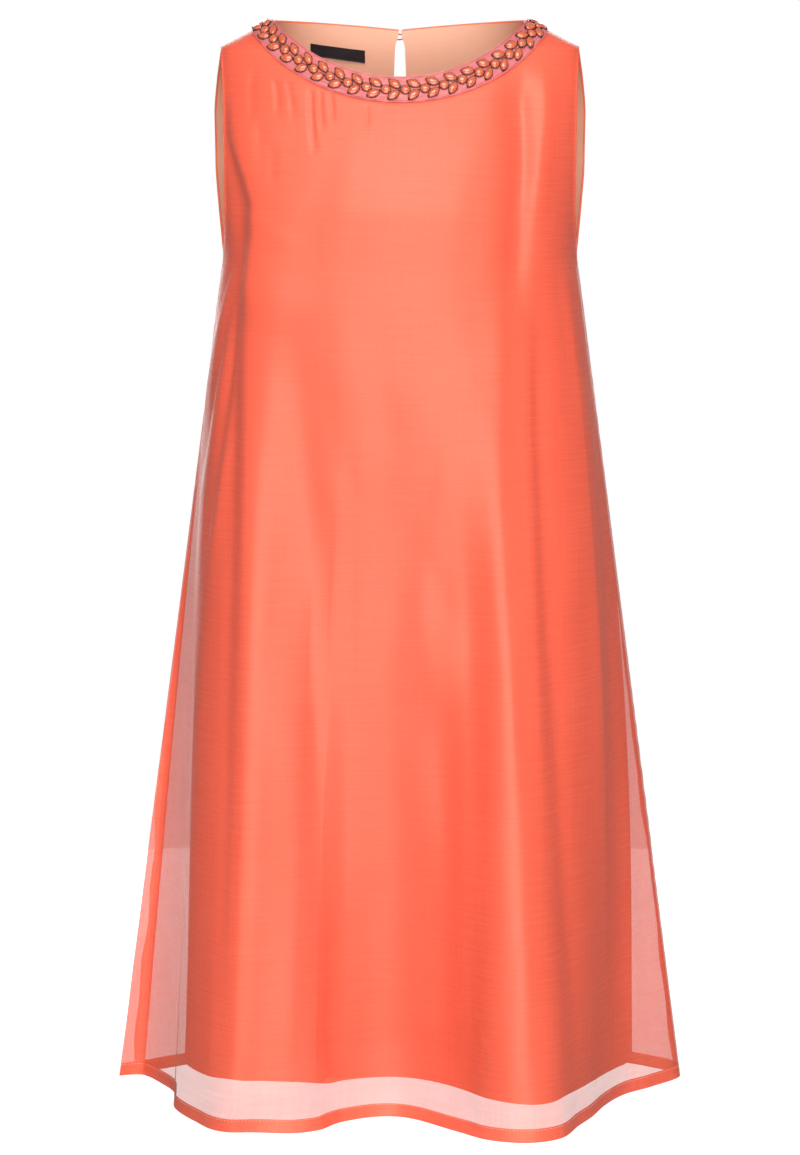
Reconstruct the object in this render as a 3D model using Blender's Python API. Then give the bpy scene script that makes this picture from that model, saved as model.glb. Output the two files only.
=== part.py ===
"""A sleeveless A-line dress with a lining, worn by nobody: the cloth keeps the hollow form it has on a figure.

Frame: metres, +Z up. The origin is midway between the two shoulder seams, where the wearer holds the dress up.
The front faces -Y, and +X is on the right of someone who looks at the front. Sizes below are in millimetres.

The dress and its lining each have a front and a back panel. A panel is a grid of points: its columns run from
the neckline or the shoulder down to the hem, and its rows run across, from one armhole or side seam to the other.
"""

import math

import bmesh
import bpy
import numpy as np
from mathutils import Matrix, Vector
from mathutils.geometry import delaunay_2d_cdt

MM = 0.001
FRONT, BACK = -1, 1  # the sign of y on each side

# Cloth
WALL = 1.0  # the wall of each panel
HEM_WALL = 1.8  # the turned-up hem of the outer dress
HEM_TURN = 11.0  # its height
SEAM_GAP = 0.3  # between panels that are sewn together
LINING_GAP = 0.45  # between the outer dress and the lining where they lie on each other
LINING_DEPTH = WALL + LINING_GAP

# Levels, as heights over the origin
NECK_Z = 11.0  # where the shoulder seam meets the neckline
TIP_Z = -12.0  # the outer end of the shoulder seam
ARMPIT_Z = -198.0
BUST_Z = -225.0  # below it the cloth hangs free, in straight lines to the hem
HEM_Z = -928.0

# Neckline and shoulders
NECK_HALF = 110.0
TIP_HALF = 155.0
NECKLINE = {
    # side: drop at the middle, and two powers that shape its curve as seen from the front
    FRONT: (51.0, 2.1, 0.9),
    BACK: (7.5, 1.0, 1.5),
}
NECK_SHARE = 0.72  # how much of a panel's top edge the neckline takes
SECTION_ROUND = 2.3  # the power of the chest's horizontal sections, which are rounded ovals
EDGE_PULL = 4.0  # how closely the pull of an armhole's curve keeps to its edge

# The form from the shoulders to the bust
FRONT_EDGE = (
    # height, half width of the panel, depth of its edge in front of the side seam
    (-12.0, 155.0, 0.0),
    (-20.0, 154.6, 10.0),
    (-40.0, 153.2, 21.0),
    (-70.0, 152.0, 31.0),
    (-110.0, 151.4, 38.0),
    (-150.0, 151.6, 38.0),
    (-180.0, 152.8, 27.0),
    (-193.0, 154.2, 13.0),
    (-198.0, 155.0, 0.0),
    (-225.0, 158.8, 0.0),
)
BACK_EDGE = (
    (-12.0, 155.0, 0.0),
    (-20.0, 156.6, 9.0),
    (-40.0, 160.0, 21.0),
    (-70.0, 162.8, 33.0),
    (-110.0, 162.8, 42.0),
    (-150.0, 160.4, 42.0),
    (-180.0, 157.2, 30.0),
    (-193.0, 155.4, 15.0),
    (-198.0, 155.0, 0.0),
    (-225.0, 158.8, 0.0),
)
CENTRE_LINE = (
    # height, depth in front, depth behind
    (12.0, 26.0, 38.0),
    (-10.0, 44.0, 46.0),
    (-40.0, 64.0, 58.0),
    (-70.0, 81.0, 68.0),
    (-110.0, 102.0, 80.0),
    (-150.0, 120.0, 89.0),
    (-198.0, 134.0, 95.0),
    (-225.0, 138.0, 96.0),
)

# The hems in plan, from the left side seam to the right one. y is negative in front. The lining's hem is higher.
FRONT_HEM = (
    # place, x, y, lining x, lining y, lining's rise, outward belly half way down
    ("seam_left", -232, 0, -184, -8, 34, 4),
    ("side_left", -212, -30, -189, -38, 34, 4),
    ("tuck_left", -199, -60, -189, -64, 35, 5),
    ("edge_left", -196, -104, -186, -94, 36, 5),
    ("step_left", -175, -146, -166, -130, 36, 2),
    ("round_left", -156, -170, -146, -140, 36, 0),
    ("flat_left", -124, -174, -118, -144, 36, 0),
    ("lobe_left", -90, -181, -86, -150, 35, 0),
    ("turn_left", -62, -172, -60, -150, 33, 0),
    ("flank_left", -40, -151, -38, -137, 32, 0),
    ("valley", -6, -139, -4, -127, 31, 0),
    ("flank_right", 31, -169, 33, -147, 31, 0),
    ("turn_right", 68, -196, 70, -178, 30, 0),
    ("lobe_right", 106, -206, 104, -196, 30, 0),
    ("round_right", 137, -192, 128, -184, 28, 0),
    ("step_right", 153, -157, 144, -152, 26, 4),
    ("shelf_right", 166, -130, 157, -124, 24, 9),
    ("edge_right", 180, -94, 171, -86, 20, 14),
    ("side_right", 199, -61, 187, -50, 18, 8),
    ("wing_right", 226, -36, 202, -24, 17, 3),
    ("seam_right", 253, 0, 209, 0, 17, 0),
)
BACK_HEM = (
    ("seam_left", -232, 0, -184, -8, 34, 4),
    ("wrap_left", -253, -2, -181, 14, 34, 0),
    ("wing_left", -224, 16, -174, 34, 34, 0),
    ("tuck_left", -182, 46, -157, 62, 34, 0),
    ("lobe_left", -134, 108, -122, 90, 33, 0),
    ("valley_left", -66, 97, -62, 83, 32, 0),
    ("lobe_middle", 0, 134, 0, 110, 31, 0),
    ("valley_right", 66, 99, 62, 85, 28, 0),
    ("lobe_right", 136, 110, 124, 94, 24, 0),
    ("tuck_right", 186, 56, 170, 62, 20, 0),
    ("wing_right", 224, 30, 200, 32, 18, 0),
    ("seam_right", 253, 0, 209, 0, 17, 0),
)

# Rows of the panels' grids. Over the bust they are heights on the column that is named, below it on every column.
FRONT_ARMHOLE_ROWS = (-12.0, -18.0, -32.0, -56.0, -88.0, -122.0, -154.0, -178.0, -191.0, -198.0)
HEM_STEP = 0.6  # the height over which the wall thickens into the hem
HEM_ROWS = (HEM_Z + HEM_TURN + HEM_STEP, HEM_Z + HEM_TURN, HEM_Z)
SKIRT_ROWS = (BUST_Z, -268.0, -335.0, -420.0, -520.0, -630.0, -740.0, -840.0) + HEM_ROWS
COLUMNS_PER_STEP = {FRONT: 2, BACK: 3}

# Keyhole at the centre back. Its heights are rows of the back panels.
KEYHOLE = (
    # height, half width
    (3.5, 0.6),
    (-3.0, 1.9),
    (-10.0, 4.1),
    (-26.0, 4.9),
    (-46.0, 5.4),
    (-66.0, 5.2),
    (-81.0, 3.9),
    (-90.0, 0.0),
)
BACK_LOWER_ROWS = (-115.0, -145.0, -170.0, -186.0)  # heights at the centre back, between keyhole and armpit

# Neck trim: a tape that carries stones, each round one followed by a leaf-shaped one on either side
TAPE_WIDTH = 25.0
TAPE_END_WIDTH = 20.0  # at the shoulder seams, where it is eased in
TAPE_LIFT = 0.65  # off the panel
TAPE_WALL = 1.0
TAPE_STEP = 8.0  # between the points along its edges
TAPE_ROWS = 4  # across it
STONE_ROW = 13.3  # from its upper edge to the row of round stones
REPEATS = 20
STONES = (
    # kind, place along the repeat, place above the row, length, width, turn in degrees
    ("round", 0.0, 0.0, 7.9, 7.9, 0.0),
    ("upper_leaf", 0.44, 5.5, 11.0, 6.0, -32.0),
    ("lower_leaf", 0.40, -4.6, 11.0, 6.0, 40.0),
)
STONE_HEIGHT = 2.3
STONE_SIDES = 8
STONE_RINGS = ((0.88, 0.62), (0.5, 0.93))  # share of the outline, share of the height
LEAF_SLIM = 0.18  # how much narrower a leaf is towards its ends than an oval
TURN_WOBBLE = 7.0  # degrees, because hand-set stones don't all lie alike
FIRST_STONE = 0.28  # its place, in repeats

# Small pieces
LABEL_SIZE = (48.0, 11.0)
LABEL_MIDDLE = (-54.0, -18.0)
LABEL_SLOPE = -0.13  # its right end lies lower
LABEL_WALL = 1.0
LABEL_GAP = 0.9  # off the lining's curve, whose flat faces cut in by up to half a millimetre
LABEL_COLUMNS = 8
BUTTON_WIDE = 8.4
BUTTON_THICK = 2.2
BUTTON_MIDDLE = (-7.6, -2.4)
SHANK_WIDE = 3.0
SHANK_LONG = 1.7
LOOP_THICK = 1.0
SMALL_GAP = 0.3  # between a small piece and the panel that it is sewn to

COLOURS = {
    # name: red, green, blue, roughness
    "outer": (0.94, 0.27, 0.17, 0.45),
    "lining": (0.91, 0.38, 0.24, 0.5),
    "tape": (0.72, 0.19, 0.22, 0.8),
    "label": (0.015, 0.015, 0.02, 0.6),
    "button": (0.85, 0.8, 0.78, 0.15),
    "thread": (0.55, 0.03, 0.03, 0.7),
}


# ---------------------------------------------------------------- curves and sections


def smooth_lookup(at, table, column):
    """A table's column at the heights given, by a cubic that doesn't overshoot. The first column is the height."""
    rows = sorted(table)
    places = np.array([row[0] for row in rows], float)
    values = np.array([row[column] for row in rows], float)
    steps = np.diff(places)
    slopes = np.diff(values) / steps
    tangents = np.concatenate([slopes[:1], np.zeros(len(slopes) - 1), slopes[-1:]])
    for k in range(1, len(slopes)):
        if slopes[k - 1] * slopes[k] > 0:
            tangents[k] = 2 * slopes[k - 1] * slopes[k] / (slopes[k - 1] + slopes[k])
    at = np.clip(np.asarray(at, float), places[0], places[-1])
    k = np.clip(np.searchsorted(places, at, side="right") - 1, 0, len(steps) - 1)
    t = (at - places[k]) / steps[k]
    start = (1 + 2 * t) * (1 - t) ** 2 * values[k] + t * (1 - t) ** 2 * steps[k] * tangents[k]
    end = t**2 * (3 - 2 * t) * values[k + 1] - t**2 * (1 - t) * steps[k] * tangents[k + 1]
    return start + end


def lengths_along(points):
    """The distance along a line of points, from its first."""
    return np.concatenate([[0.0], np.cumsum(np.linalg.norm(np.diff(points, axis=0), axis=1))])


def read_line(at, places, points):
    """The points of a line at other places along it."""
    return np.stack([np.interp(at, places, points[:, k]) for k in range(points.shape[1])], axis=-1)


def spline(points, per_step, before, after):
    """A Catmull-Rom curve through the points, given their neighbours beyond the two ends."""
    ends = np.vstack([before, points, after])
    t = np.linspace(0, 1, per_step, endpoint=False)[:, None]
    made = []
    for k in range(1, len(ends) - 2):
        a, b, c, d = ends[k - 1 : k + 3]
        made.append(b + 0.5 * t * (c - a + t * (2 * a - 5 * b + 4 * c - d + t * (3 * b - a - 3 * c + d))))
    return np.vstack(made + [ends[-2]])


def edge_half(side, z):
    """A panel's half width at heights z: along the shoulder seam, the armhole and the top of the side seam."""
    z = np.asarray(z, float)
    shoulder = TIP_HALF + (z - TIP_Z) * (NECK_HALF - TIP_HALF) / (NECK_Z - TIP_Z)
    below = smooth_lookup(z, FRONT_EDGE if side == FRONT else BACK_EDGE, 1)
    return np.where(z > TIP_Z, shoulder, below)


def form_point(side, x, z):
    """Points of the form over the bust, at places x and heights z as seen from the front."""
    x, z = np.broadcast_arrays(np.asarray(x, float), np.asarray(z, float))
    across = np.clip(np.abs(x) / edge_half(side, z), 0, 1)
    edge_depth = smooth_lookup(z, FRONT_EDGE if side == FRONT else BACK_EDGE, 2)
    centre = smooth_lookup(z, CENTRE_LINE, 1 if side == FRONT else 2)
    rounding = 1 - (edge_depth / centre) ** SECTION_ROUND
    depth = centre * (1 - rounding * across**SECTION_ROUND) ** (1 / SECTION_ROUND)
    return np.stack([x, side * depth, z], axis=-1)


def top_edge(side, shares):
    """x and height at the top of each column: along the neckline, then the shoulder seam."""
    shares = np.asarray(shares, float)
    drop, width_power, drop_power = NECKLINE[side]
    x = NECK_HALF * np.clip(shares / NECK_SHARE, -1, 1)
    fall = np.clip(1 - (np.abs(x) / NECK_HALF) ** width_power, 0, 1) ** drop_power
    on_shoulder = np.clip((np.abs(shares) - NECK_SHARE) / (1 - NECK_SHARE), 0, 1)
    x = x + np.sign(shares) * (TIP_HALF - NECK_HALF) * on_shoulder
    return x, NECK_Z - drop * fall + (TIP_Z - NECK_Z) * on_shoulder


def bust_x(side, shares):
    """x at the bust for shares of the panel's length there."""
    turn = np.linspace(-math.pi / 2, math.pi / 2, 721)
    across = np.sign(turn) * np.abs(np.sin(turn)) ** (2 / SECTION_ROUND)
    x = across * edge_half(side, BUST_Z)
    length = lengths_along(form_point(side, x, BUST_Z))
    return np.interp(shares, 2 * length / length[-1] - 1, x)


# ---------------------------------------------------------------- the skirt


def hem_table(side):
    return FRONT_HEM if side == FRONT else BACK_HEM


def hem_curve(side, lining, per_step=40):
    """The hem in plan as a smooth curve, which goes on smoothly in the other panel's."""
    first = 3 if lining else 1
    mine, others = (np.array([row[first : first + 2] for row in hem_table(s)], float) for s in (side, -side))
    return spline(mine, per_step, others[1], others[-2])


def station_shares(side):
    """Where each place of the hem's table lies across the panel, from -1 to 1, by the outer hem's length."""
    curve = hem_curve(side, False)
    length = lengths_along(curve)
    per_step = (len(curve) - 1) // (len(hem_table(side)) - 1)
    return (2 * length / length[-1] - 1)[::per_step]


def column_shares(side):
    """The panel's columns: those of the hem's places and some between each two. One is moved to the middle."""
    stations = station_shares(side)
    count, per_step = len(stations) - 1, COLUMNS_PER_STEP[side]
    shares = np.interp(np.arange(count * per_step + 1) / per_step, np.arange(count + 1), stations)
    shares[np.argmin(np.abs(shares))] = 0.0
    return shares


def by_station(side, shares, column):
    values = [row[column] for row in hem_table(side)]
    return np.interp(shares, station_shares(side), values)


def hem_points(side, lining, shares):
    """The hem in plan at shares of the panel. The lining follows the outer dress place by place."""
    curve = hem_curve(side, lining)
    count = len(hem_table(side)) - 1
    step = np.interp(shares, station_shares(side), np.arange(count + 1))
    return read_line(step, np.linspace(0, count, len(curve)), curve)


def skirt_row(side, lining, shares, bust, height):
    """A row of the skirt. Each of its points lies on a straight line from bust to hem, apart from the belly."""
    down = (BUST_Z - height) / (BUST_Z - HEM_Z)
    line = (1 - down) * bust[:, :2] + down * hem_points(side, lining, shares)
    line[:, 0] += np.sign(shares) * by_station(side, shares, 6) * math.sin(math.pi * down**0.8)
    rise = by_station(side, shares, 5) if lining else np.zeros(len(shares))
    return np.column_stack([line, BUST_Z - down * (BUST_Z - HEM_Z - rise)])


def upper_rows(side):
    """The rows over the bust, as shares of each column's way down to the bust."""
    if side == FRONT:
        return [(TIP_Z - z) / (TIP_Z - BUST_Z) for z in FRONT_ARMHOLE_ROWS]
    top = KEYHOLE[0][0]
    heights = [row[0] for row in KEYHOLE] + list(BACK_LOWER_ROWS)
    return [(top - z) / (top - BUST_Z) for z in heights] + [(TIP_Z - ARMPIT_Z) / (TIP_Z - BUST_Z)]


def upper_points(side, shares):
    """The grid over the bust, from the top edge to just under the armpit. Its end columns are the armholes."""
    top_x, top_z = top_edge(side, shares)
    foot_x = bust_x(side, shares)
    rows = []
    for way in upper_rows(side):
        z = top_z + (BUST_Z - top_z) * way
        x = top_x + (foot_x - top_x) * way
        pull = edge_half(side, z[-1]) - x[-1]
        x = x + np.sign(shares) * pull * np.abs(shares) ** EDGE_PULL
        rows.append(form_point(side, x, z))
    return np.array(rows)


def row_count(side):
    """How many rows lie over the bust."""
    return len(upper_rows(side))


# ---------------------------------------------------------------- walls


def grid_normals(points, side):
    """Unit normals of a grid of points, facing out of the dress."""
    down = np.gradient(points, axis=0)
    across = np.gradient(points, axis=1)
    normals = np.cross(down, across)
    outward = points * (1, 1, 0)
    if (normals * outward).sum() < 0:
        normals = -normals
    return normals / np.linalg.norm(normals, axis=2)[:, :, None]


def set_shoulder_mitre(normals, shares):
    """At the shoulder seam both panels' walls end in the seam's own plane."""
    on_shoulder = np.abs(shares) >= NECK_SHARE
    normals[0, on_shoulder, 1] = 0
    normals[0, on_shoulder] /= np.linalg.norm(normals[0, on_shoulder], axis=1)[:, None]


def match_side_seams(front, back):
    """Front and back share their normals along the side seams, from the armpit down."""
    rows = 1 + len(SKIRT_ROWS)
    for end in (0, -1):
        both = front[-rows:, end] + back[-rows:, end]
        both /= np.linalg.norm(both, axis=1)[:, None]
        front[-rows:, end] = both
        back[-rows:, end] = both


def outer_grids(shares):
    """The outer faces of the outer dress's panels and their normals, by side."""
    points = {}
    for side in (FRONT, BACK):
        bust = form_point(side, bust_x(side, shares[side]), BUST_Z)
        skirt = [skirt_row(side, False, shares[side], bust, z) for z in SKIRT_ROWS]
        points[side] = np.concatenate([upper_points(side, shares[side]), skirt])
    return points, wall_normals(points, shares)


def lining_grids(shares, outer, outer_normals):
    """The same for the lining. It lies under the outer dress down to the bust, and goes its own way below."""
    points = {}
    for side in (FRONT, BACK):
        over_bust = row_count(side)
        level = outer_normals[side][over_bust] * (1, 1, 0)
        level /= np.linalg.norm(level, axis=1)[:, None]
        upper = outer[side][:over_bust] - outer_normals[side][:over_bust] * LINING_DEPTH
        bust = outer[side][over_bust] - level * LINING_DEPTH
        skirt = [skirt_row(side, True, shares[side], bust, z) for z in SKIRT_ROWS]
        points[side] = np.concatenate([upper, skirt])
    normals = wall_normals(points, shares)
    for side in (FRONT, BACK):
        normals[side][: row_count(side)] = outer_normals[side][: row_count(side)]
    return points, normals


def wall_normals(points, shares):
    normals = {side: grid_normals(points[side], side) for side in points}
    for side in points:
        set_shoulder_mitre(normals[side], shares[side])
    match_side_seams(normals[FRONT], normals[BACK])
    return normals


def open_seams(points, side, shares):
    """Pull a panel's edges back by half the seam's gap."""
    armpit = row_count(side) - 1
    for end, next_in in ((0, 1), (-1, -2)):
        inward = points[armpit:, next_in] - points[armpit:, end]
        inward /= np.linalg.norm(inward, axis=1)[:, None]
        points[armpit:, end] += inward * SEAM_GAP / 2
    on_shoulder = np.abs(shares) >= NECK_SHARE
    points[0, on_shoulder, 1] += side * SEAM_GAP / 2


def solid_from_cells(name, outer, inner, cells, material):
    """A closed wall from cells of keys into two dicts of points: its outer face, its inner face and its rims.

    Both faces of a cell are split by the same diagonal, so that walls which lie on each other stay apart."""
    mesh = bmesh.new()
    keys = sorted({key for cell in cells for key in cell})
    out = {key: mesh.verts.new(Vector(outer[key]) * MM) for key in keys}
    inn = {key: mesh.verts.new(Vector(inner[key]) * MM) for key in keys}
    rims = {}
    for cell in cells:
        for corners in ((cell[0], cell[1], cell[2]), (cell[0], cell[2], cell[3])):
            mesh.faces.new([out[key] for key in corners])
            mesh.faces.new([inn[key] for key in reversed(corners)])
        for a, b in zip(cell, cell[1:] + cell[:1]):
            if (b, a) in rims:
                del rims[b, a]
            else:
                rims[a, b] = True
    for a, b in rims:
        mesh.faces.new([out[b], out[a], inn[a], inn[b]])
    return finish_object(name, mesh, material)


def finish_object(name, mesh, material):
    bmesh.ops.recalc_face_normals(mesh, faces=mesh.faces)
    data = bpy.data.meshes.new(name)
    mesh.to_mesh(data)
    mesh.free()
    data.materials.append(material)
    data.shade_smooth()
    data.set_sharp_from_angle(angle=math.radians(40))
    made = bpy.data.objects.new(name, data)
    bpy.context.collection.objects.link(made)
    return made


def panel_solid(name, points, normals, walls, middle, slit, material):
    """One panel. A slit's column is doubled down to the keyhole's end, and its two sides are drawn apart."""
    rows, columns = points.shape[:2]
    slit_rows = len(KEYHOLE) - 1

    def key(row, column, right):
        """A grid point's key. In the slit its last number says which side of it the point is on."""
        return row, column, int(right and column == slit and row < slit_rows)

    outer, inner = {}, {}
    for row in range(rows):
        for column in range(columns):
            for right in (0, 1):
                place = points[row, column].copy()
                if column == slit and row < slit_rows:
                    place[0] += KEYHOLE[row][1] * (1 if right else -1)
                outer[row, column, right] = place
                inner[row, column, right] = place - normals[row, column] * walls[row]
    cells = []
    for row in range(rows - 1):
        for column in range(columns - 1):
            right = column >= middle
            corners = [(row, column), (row + 1, column), (row + 1, column + 1), (row, column + 1)]
            if right:
                corners = corners[1:] + corners[:1]
            cells.append([key(r, c, right) for r, c in corners])
    return solid_from_cells(name, outer, inner, cells, material)


def wall_of_rows(side, layer):
    walls = [WALL] * (row_count(side) + len(SKIRT_ROWS))
    if layer == "outer":
        walls[-2:] = [HEM_WALL, HEM_WALL]
    return walls


def make_panels(materials):
    shares = {side: column_shares(side) for side in (FRONT, BACK)}
    outer = outer_grids(shares)
    lining = lining_grids(shares, *outer)
    for layer, (points, normals) in (("outer", outer), ("lining", lining)):
        for side, word in ((FRONT, "front"), (BACK, "back")):
            open_seams(points[side], side, shares[side])
            walls = wall_of_rows(side, layer)
            middle = int(np.flatnonzero(shares[side] == 0)[0])
            slit = middle if side == BACK else None
            panel_solid(f"{layer}_{word}", points[side], normals[side], walls, middle, slit, materials[layer])


# ---------------------------------------------------------------- neck trim


class NeckTape:
    """The band that lies on the front panel under the neckline, with places by length and width in millimetres."""

    SAMPLES = 241
    DEPTH_SAMPLES = 61
    REACH = 30.0

    def __init__(self):
        shares = np.linspace(-NECK_SHARE, NECK_SHARE, self.SAMPLES)
        top = form_point(FRONT, *top_edge(FRONT, shares))
        tangent = np.gradient(top[:, [0, 2]], axis=0)
        tangent /= np.linalg.norm(tangent, axis=1)[:, None]
        down = np.stack([tangent[:, 1], -tangent[:, 0]], axis=1)
        down = self.turned_to_shoulders(down, top)
        self.lines = []
        for k in range(self.SAMPLES):
            way = np.linspace(0, self.REACH, self.DEPTH_SAMPLES)
            x = top[k, 0] + down[k, 0] * way
            height = top[k, 2] + down[k, 1] * way
            line = form_point(FRONT, x, height)
            self.lines.append((lengths_along(line), line))
        self.places = np.zeros(self.SAMPLES)
        self.places = lengths_along(np.array([self.on_line(k, STONE_ROW) for k in range(self.SAMPLES)]))
        self.length = self.places[-1]

    def turned_to_shoulders(self, down, top):
        """Near its ends the tape's width turns, to lie along the shoulder seam at the very end."""
        run = NECK_HALF - np.abs(top[:, 0])
        blend = np.clip(1 - run / (TAPE_WIDTH * 1.2), 0, 1)[:, None] ** 2
        seam = np.array([TIP_HALF - NECK_HALF, TIP_Z - NECK_Z])
        seam = seam / np.linalg.norm(seam)
        end = np.stack([np.sign(top[:, 0]) * seam[0], np.full(len(top), seam[1])], axis=1)
        mixed = (1 - blend) * down + blend * end
        return mixed / np.linalg.norm(mixed, axis=1)[:, None]

    def on_line(self, k, depth):
        length, line = self.lines[k]
        return read_line(depth, length, line)

    def point(self, place, depth):
        """The panel's point at a place along the tape and a depth under its upper edge, had it not been eased."""
        depth *= 1 - (1 - TAPE_END_WIDTH / TAPE_WIDTH) * abs(2 * place / self.length - 1) ** 3
        k = np.interp(place, self.places, np.arange(self.SAMPLES))
        low = int(min(k, self.SAMPLES - 2))
        share = k - low
        return (1 - share) * self.on_line(low, depth) + share * self.on_line(low + 1, depth)

    def lifted(self, place, depth, lift):
        """The same, lifted off the panel."""
        step = 0.6
        at = min(max(place, step), self.length - step)
        along = self.point(at + step, depth) - self.point(at - step, depth)
        down = self.point(at, depth + step) - self.point(at, depth)
        normal = np.cross(down, along)
        normal /= np.linalg.norm(normal)
        if normal[1] > 0:
            normal = -normal
        return self.point(place, depth) + normal * lift


def stone_outline(kind, length, width):
    """A stone's outline about its middle: an oval, or a leaf with two points."""
    turns = [2 * math.pi * k / STONE_SIDES for k in range(STONE_SIDES)]
    if kind == "round":
        return [(length / 2 * math.cos(t), width / 2 * math.sin(t)) for t in turns]
    slim = [1 - LEAF_SLIM * math.cos(t) ** 2 for t in turns]
    return [(length / 2 * math.cos(t), width / 2 * math.sin(t) * s) for t, s in zip(turns, slim)]


def stone_places(tape):
    """Each stone's kind, outline size, middle and turn."""
    pitch = tape.length / REPEATS
    for repeat in range(REPEATS):
        for order, (kind, along, above, length, width, turn) in enumerate(STONES):
            place = (repeat + FIRST_STONE + along) * pitch
            wobble = TURN_WOBBLE * math.sin(2.4 * repeat + 1.9 * order)
            yield kind, length, width, place, STONE_ROW - above, turn + wobble


def make_neck_trim(material):
    """The tape's outer face has the stones' outlines cut into it, and each stone rises from its outline."""
    tape = NeckTape()
    columns = round(tape.length / TAPE_STEP)
    run = [tape.length * k / columns for k in range(columns + 1)]
    across = [TAPE_WIDTH * k / TAPE_ROWS for k in range(TAPE_ROWS + 1)]
    rim = [(place, 0.0) for place in run] + [(tape.length, depth) for depth in across[1:-1]]
    rim += [(place, TAPE_WIDTH) for place in reversed(run)] + [(0.0, depth) for depth in across[-2:0:-1]]
    flat = list(rim)
    loops = [list(range(len(rim)))]
    stones = []
    for kind, length, width, place, depth, turn in stone_places(tape):
        cos, sin = math.cos(math.radians(turn)), math.sin(math.radians(turn))
        outline = [(x * cos - y * sin, x * sin + y * cos) for x, y in stone_outline(kind, length, width)]
        ring = [(place + x, depth - y) for x, y in outline]
        stones.append((place, depth, ring))
        loops.append(list(range(len(flat), len(flat) + len(ring))))
        flat += ring
    edges = [pair for loop in loops for pair in zip(loop, loop[1:] + loop[:1])]
    points, _, faces, _, _, _ = delaunay_2d_cdt([Vector(p) for p in flat], edges, [], 1, 1e-5)
    mesh = bmesh.new()
    base = [mesh.verts.new(Vector(tape.lifted(*p, TAPE_LIFT + TAPE_WALL)) * MM) for p in points]
    inside = {(p, d): mesh.verts.new(Vector(tape.lifted(p, d, TAPE_LIFT)) * MM) for p in run for d in across}
    stone_of = {}
    for number, loop in enumerate(loops[1:]):
        stone_of.update({index: number for index in loop})
    for face in faces:
        owners = {stone_of.get(index) for index in face}
        if len(owners) == 1 and None not in owners:
            continue
        mesh.faces.new([base[index] for index in face])
    for number, (place, depth, ring) in enumerate(stones):
        add_stone(mesh, tape, [base[index] for index in loops[number + 1]], place, depth, ring)
    for k, (here, after) in enumerate(zip(rim, rim[1:] + rim[:1])):
        mesh.faces.new([base[k], base[(k + 1) % len(rim)], inside[after], inside[here]])
    for here, after in zip(run, run[1:]):
        for high, low in zip(across, across[1:]):
            mesh.faces.new([inside[here, high], inside[after, high], inside[after, low], inside[here, low]])
    return finish_object("neck_trim", mesh, material)


def add_stone(mesh, tape, foot, place, depth, ring):
    """A domed stone on its outline."""
    below = foot
    top = TAPE_LIFT + TAPE_WALL
    for share, height in STONE_RINGS:
        level = []
        for x, y in ring:
            at = (place + (x - place) * share, depth + (y - depth) * share)
            level.append(mesh.verts.new(Vector(tape.lifted(*at, top + STONE_HEIGHT * height)) * MM))
        for k in range(len(ring)):
            after = (k + 1) % len(ring)
            mesh.faces.new([below[k], below[after], level[after], level[k]])
        below = level
    peak = mesh.verts.new(Vector(tape.lifted(place, depth, top + STONE_HEIGHT)) * MM)
    for k in range(len(ring)):
        mesh.faces.new([below[k], below[(k + 1) % len(ring)], peak])


# ---------------------------------------------------------------- small pieces


def back_point(x, z, depth):
    """A point on the back's form, moved towards the inside of the dress by a depth."""

    here = form_point(BACK, x, z)
    across = form_point(BACK, x + 0.5, z) - here
    down = form_point(BACK, x, z - 0.5) - here
    normal = np.cross(across, down)
    normal /= np.linalg.norm(normal)
    if normal[1] < 0:
        normal = -normal
    return here - normal * depth


def make_label(material):
    """A plain woven label on the lining's inside, sewn at both ends."""
    near = LINING_DEPTH + WALL + LABEL_GAP
    outer, inner, cells = {}, {}, []
    for column in range(LABEL_COLUMNS + 1):
        x = LABEL_MIDDLE[0] + LABEL_SIZE[0] * (column / LABEL_COLUMNS - 0.5)
        for row in (0, 1):
            z = LABEL_MIDDLE[1] + LABEL_SIZE[1] * (0.5 - row) + (x - LABEL_MIDDLE[0]) * LABEL_SLOPE
            sag = 0.8 * math.sin(math.pi * column / LABEL_COLUMNS)
            outer[row, column] = back_point(x, z, near + sag)
            inner[row, column] = back_point(x, z, near + sag + LABEL_WALL)
    for column in range(LABEL_COLUMNS):
        cells.append([(0, column), (1, column), (1, column + 1), (0, column + 1)])
    return solid_from_cells("label", outer, inner, cells, material)


def make_button(material):
    """A small round button on a thread shank, on the outside of the back beside the slit."""
    x, z = BUTTON_MIDDLE
    seat = Vector(back_point(x, z, -SMALL_GAP))
    out = (Vector(back_point(x, z, -SMALL_GAP - 1.0)) - seat).normalized()
    profile = (
        # distance from the axis, height over the seat
        (0.0, 0.0),
        (SHANK_WIDE / 2, 0.0),
        (SHANK_WIDE / 2, SHANK_LONG),
        (BUTTON_WIDE / 2 - 0.5, SHANK_LONG),
        (BUTTON_WIDE / 2, SHANK_LONG + 0.6),
        (BUTTON_WIDE / 2, SHANK_LONG + BUTTON_THICK - 0.8),
        (BUTTON_WIDE / 2 - 0.8, SHANK_LONG + BUTTON_THICK),
        (0.0, SHANK_LONG + BUTTON_THICK - 0.3),
    )
    mesh = bmesh.new()
    line = [mesh.verts.new((r * MM, 0, h * MM)) for r, h in profile]
    rims = [mesh.edges.new(pair) for pair in zip(line, line[1:])]
    bmesh.ops.spin(
        mesh, geom=line + rims, cent=(0, 0, 0), axis=(0, 0, 1), dvec=(0, 0, 0), angle=2 * math.pi, steps=16
    )
    bmesh.ops.remove_doubles(mesh, verts=mesh.verts, dist=0.00001)
    turn = out.to_track_quat("Z", "Y").to_matrix().to_4x4()
    bmesh.ops.transform(mesh, matrix=Matrix.Translation(seat * MM) @ turn, verts=mesh.verts)
    return finish_object("button", mesh, material)


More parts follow.
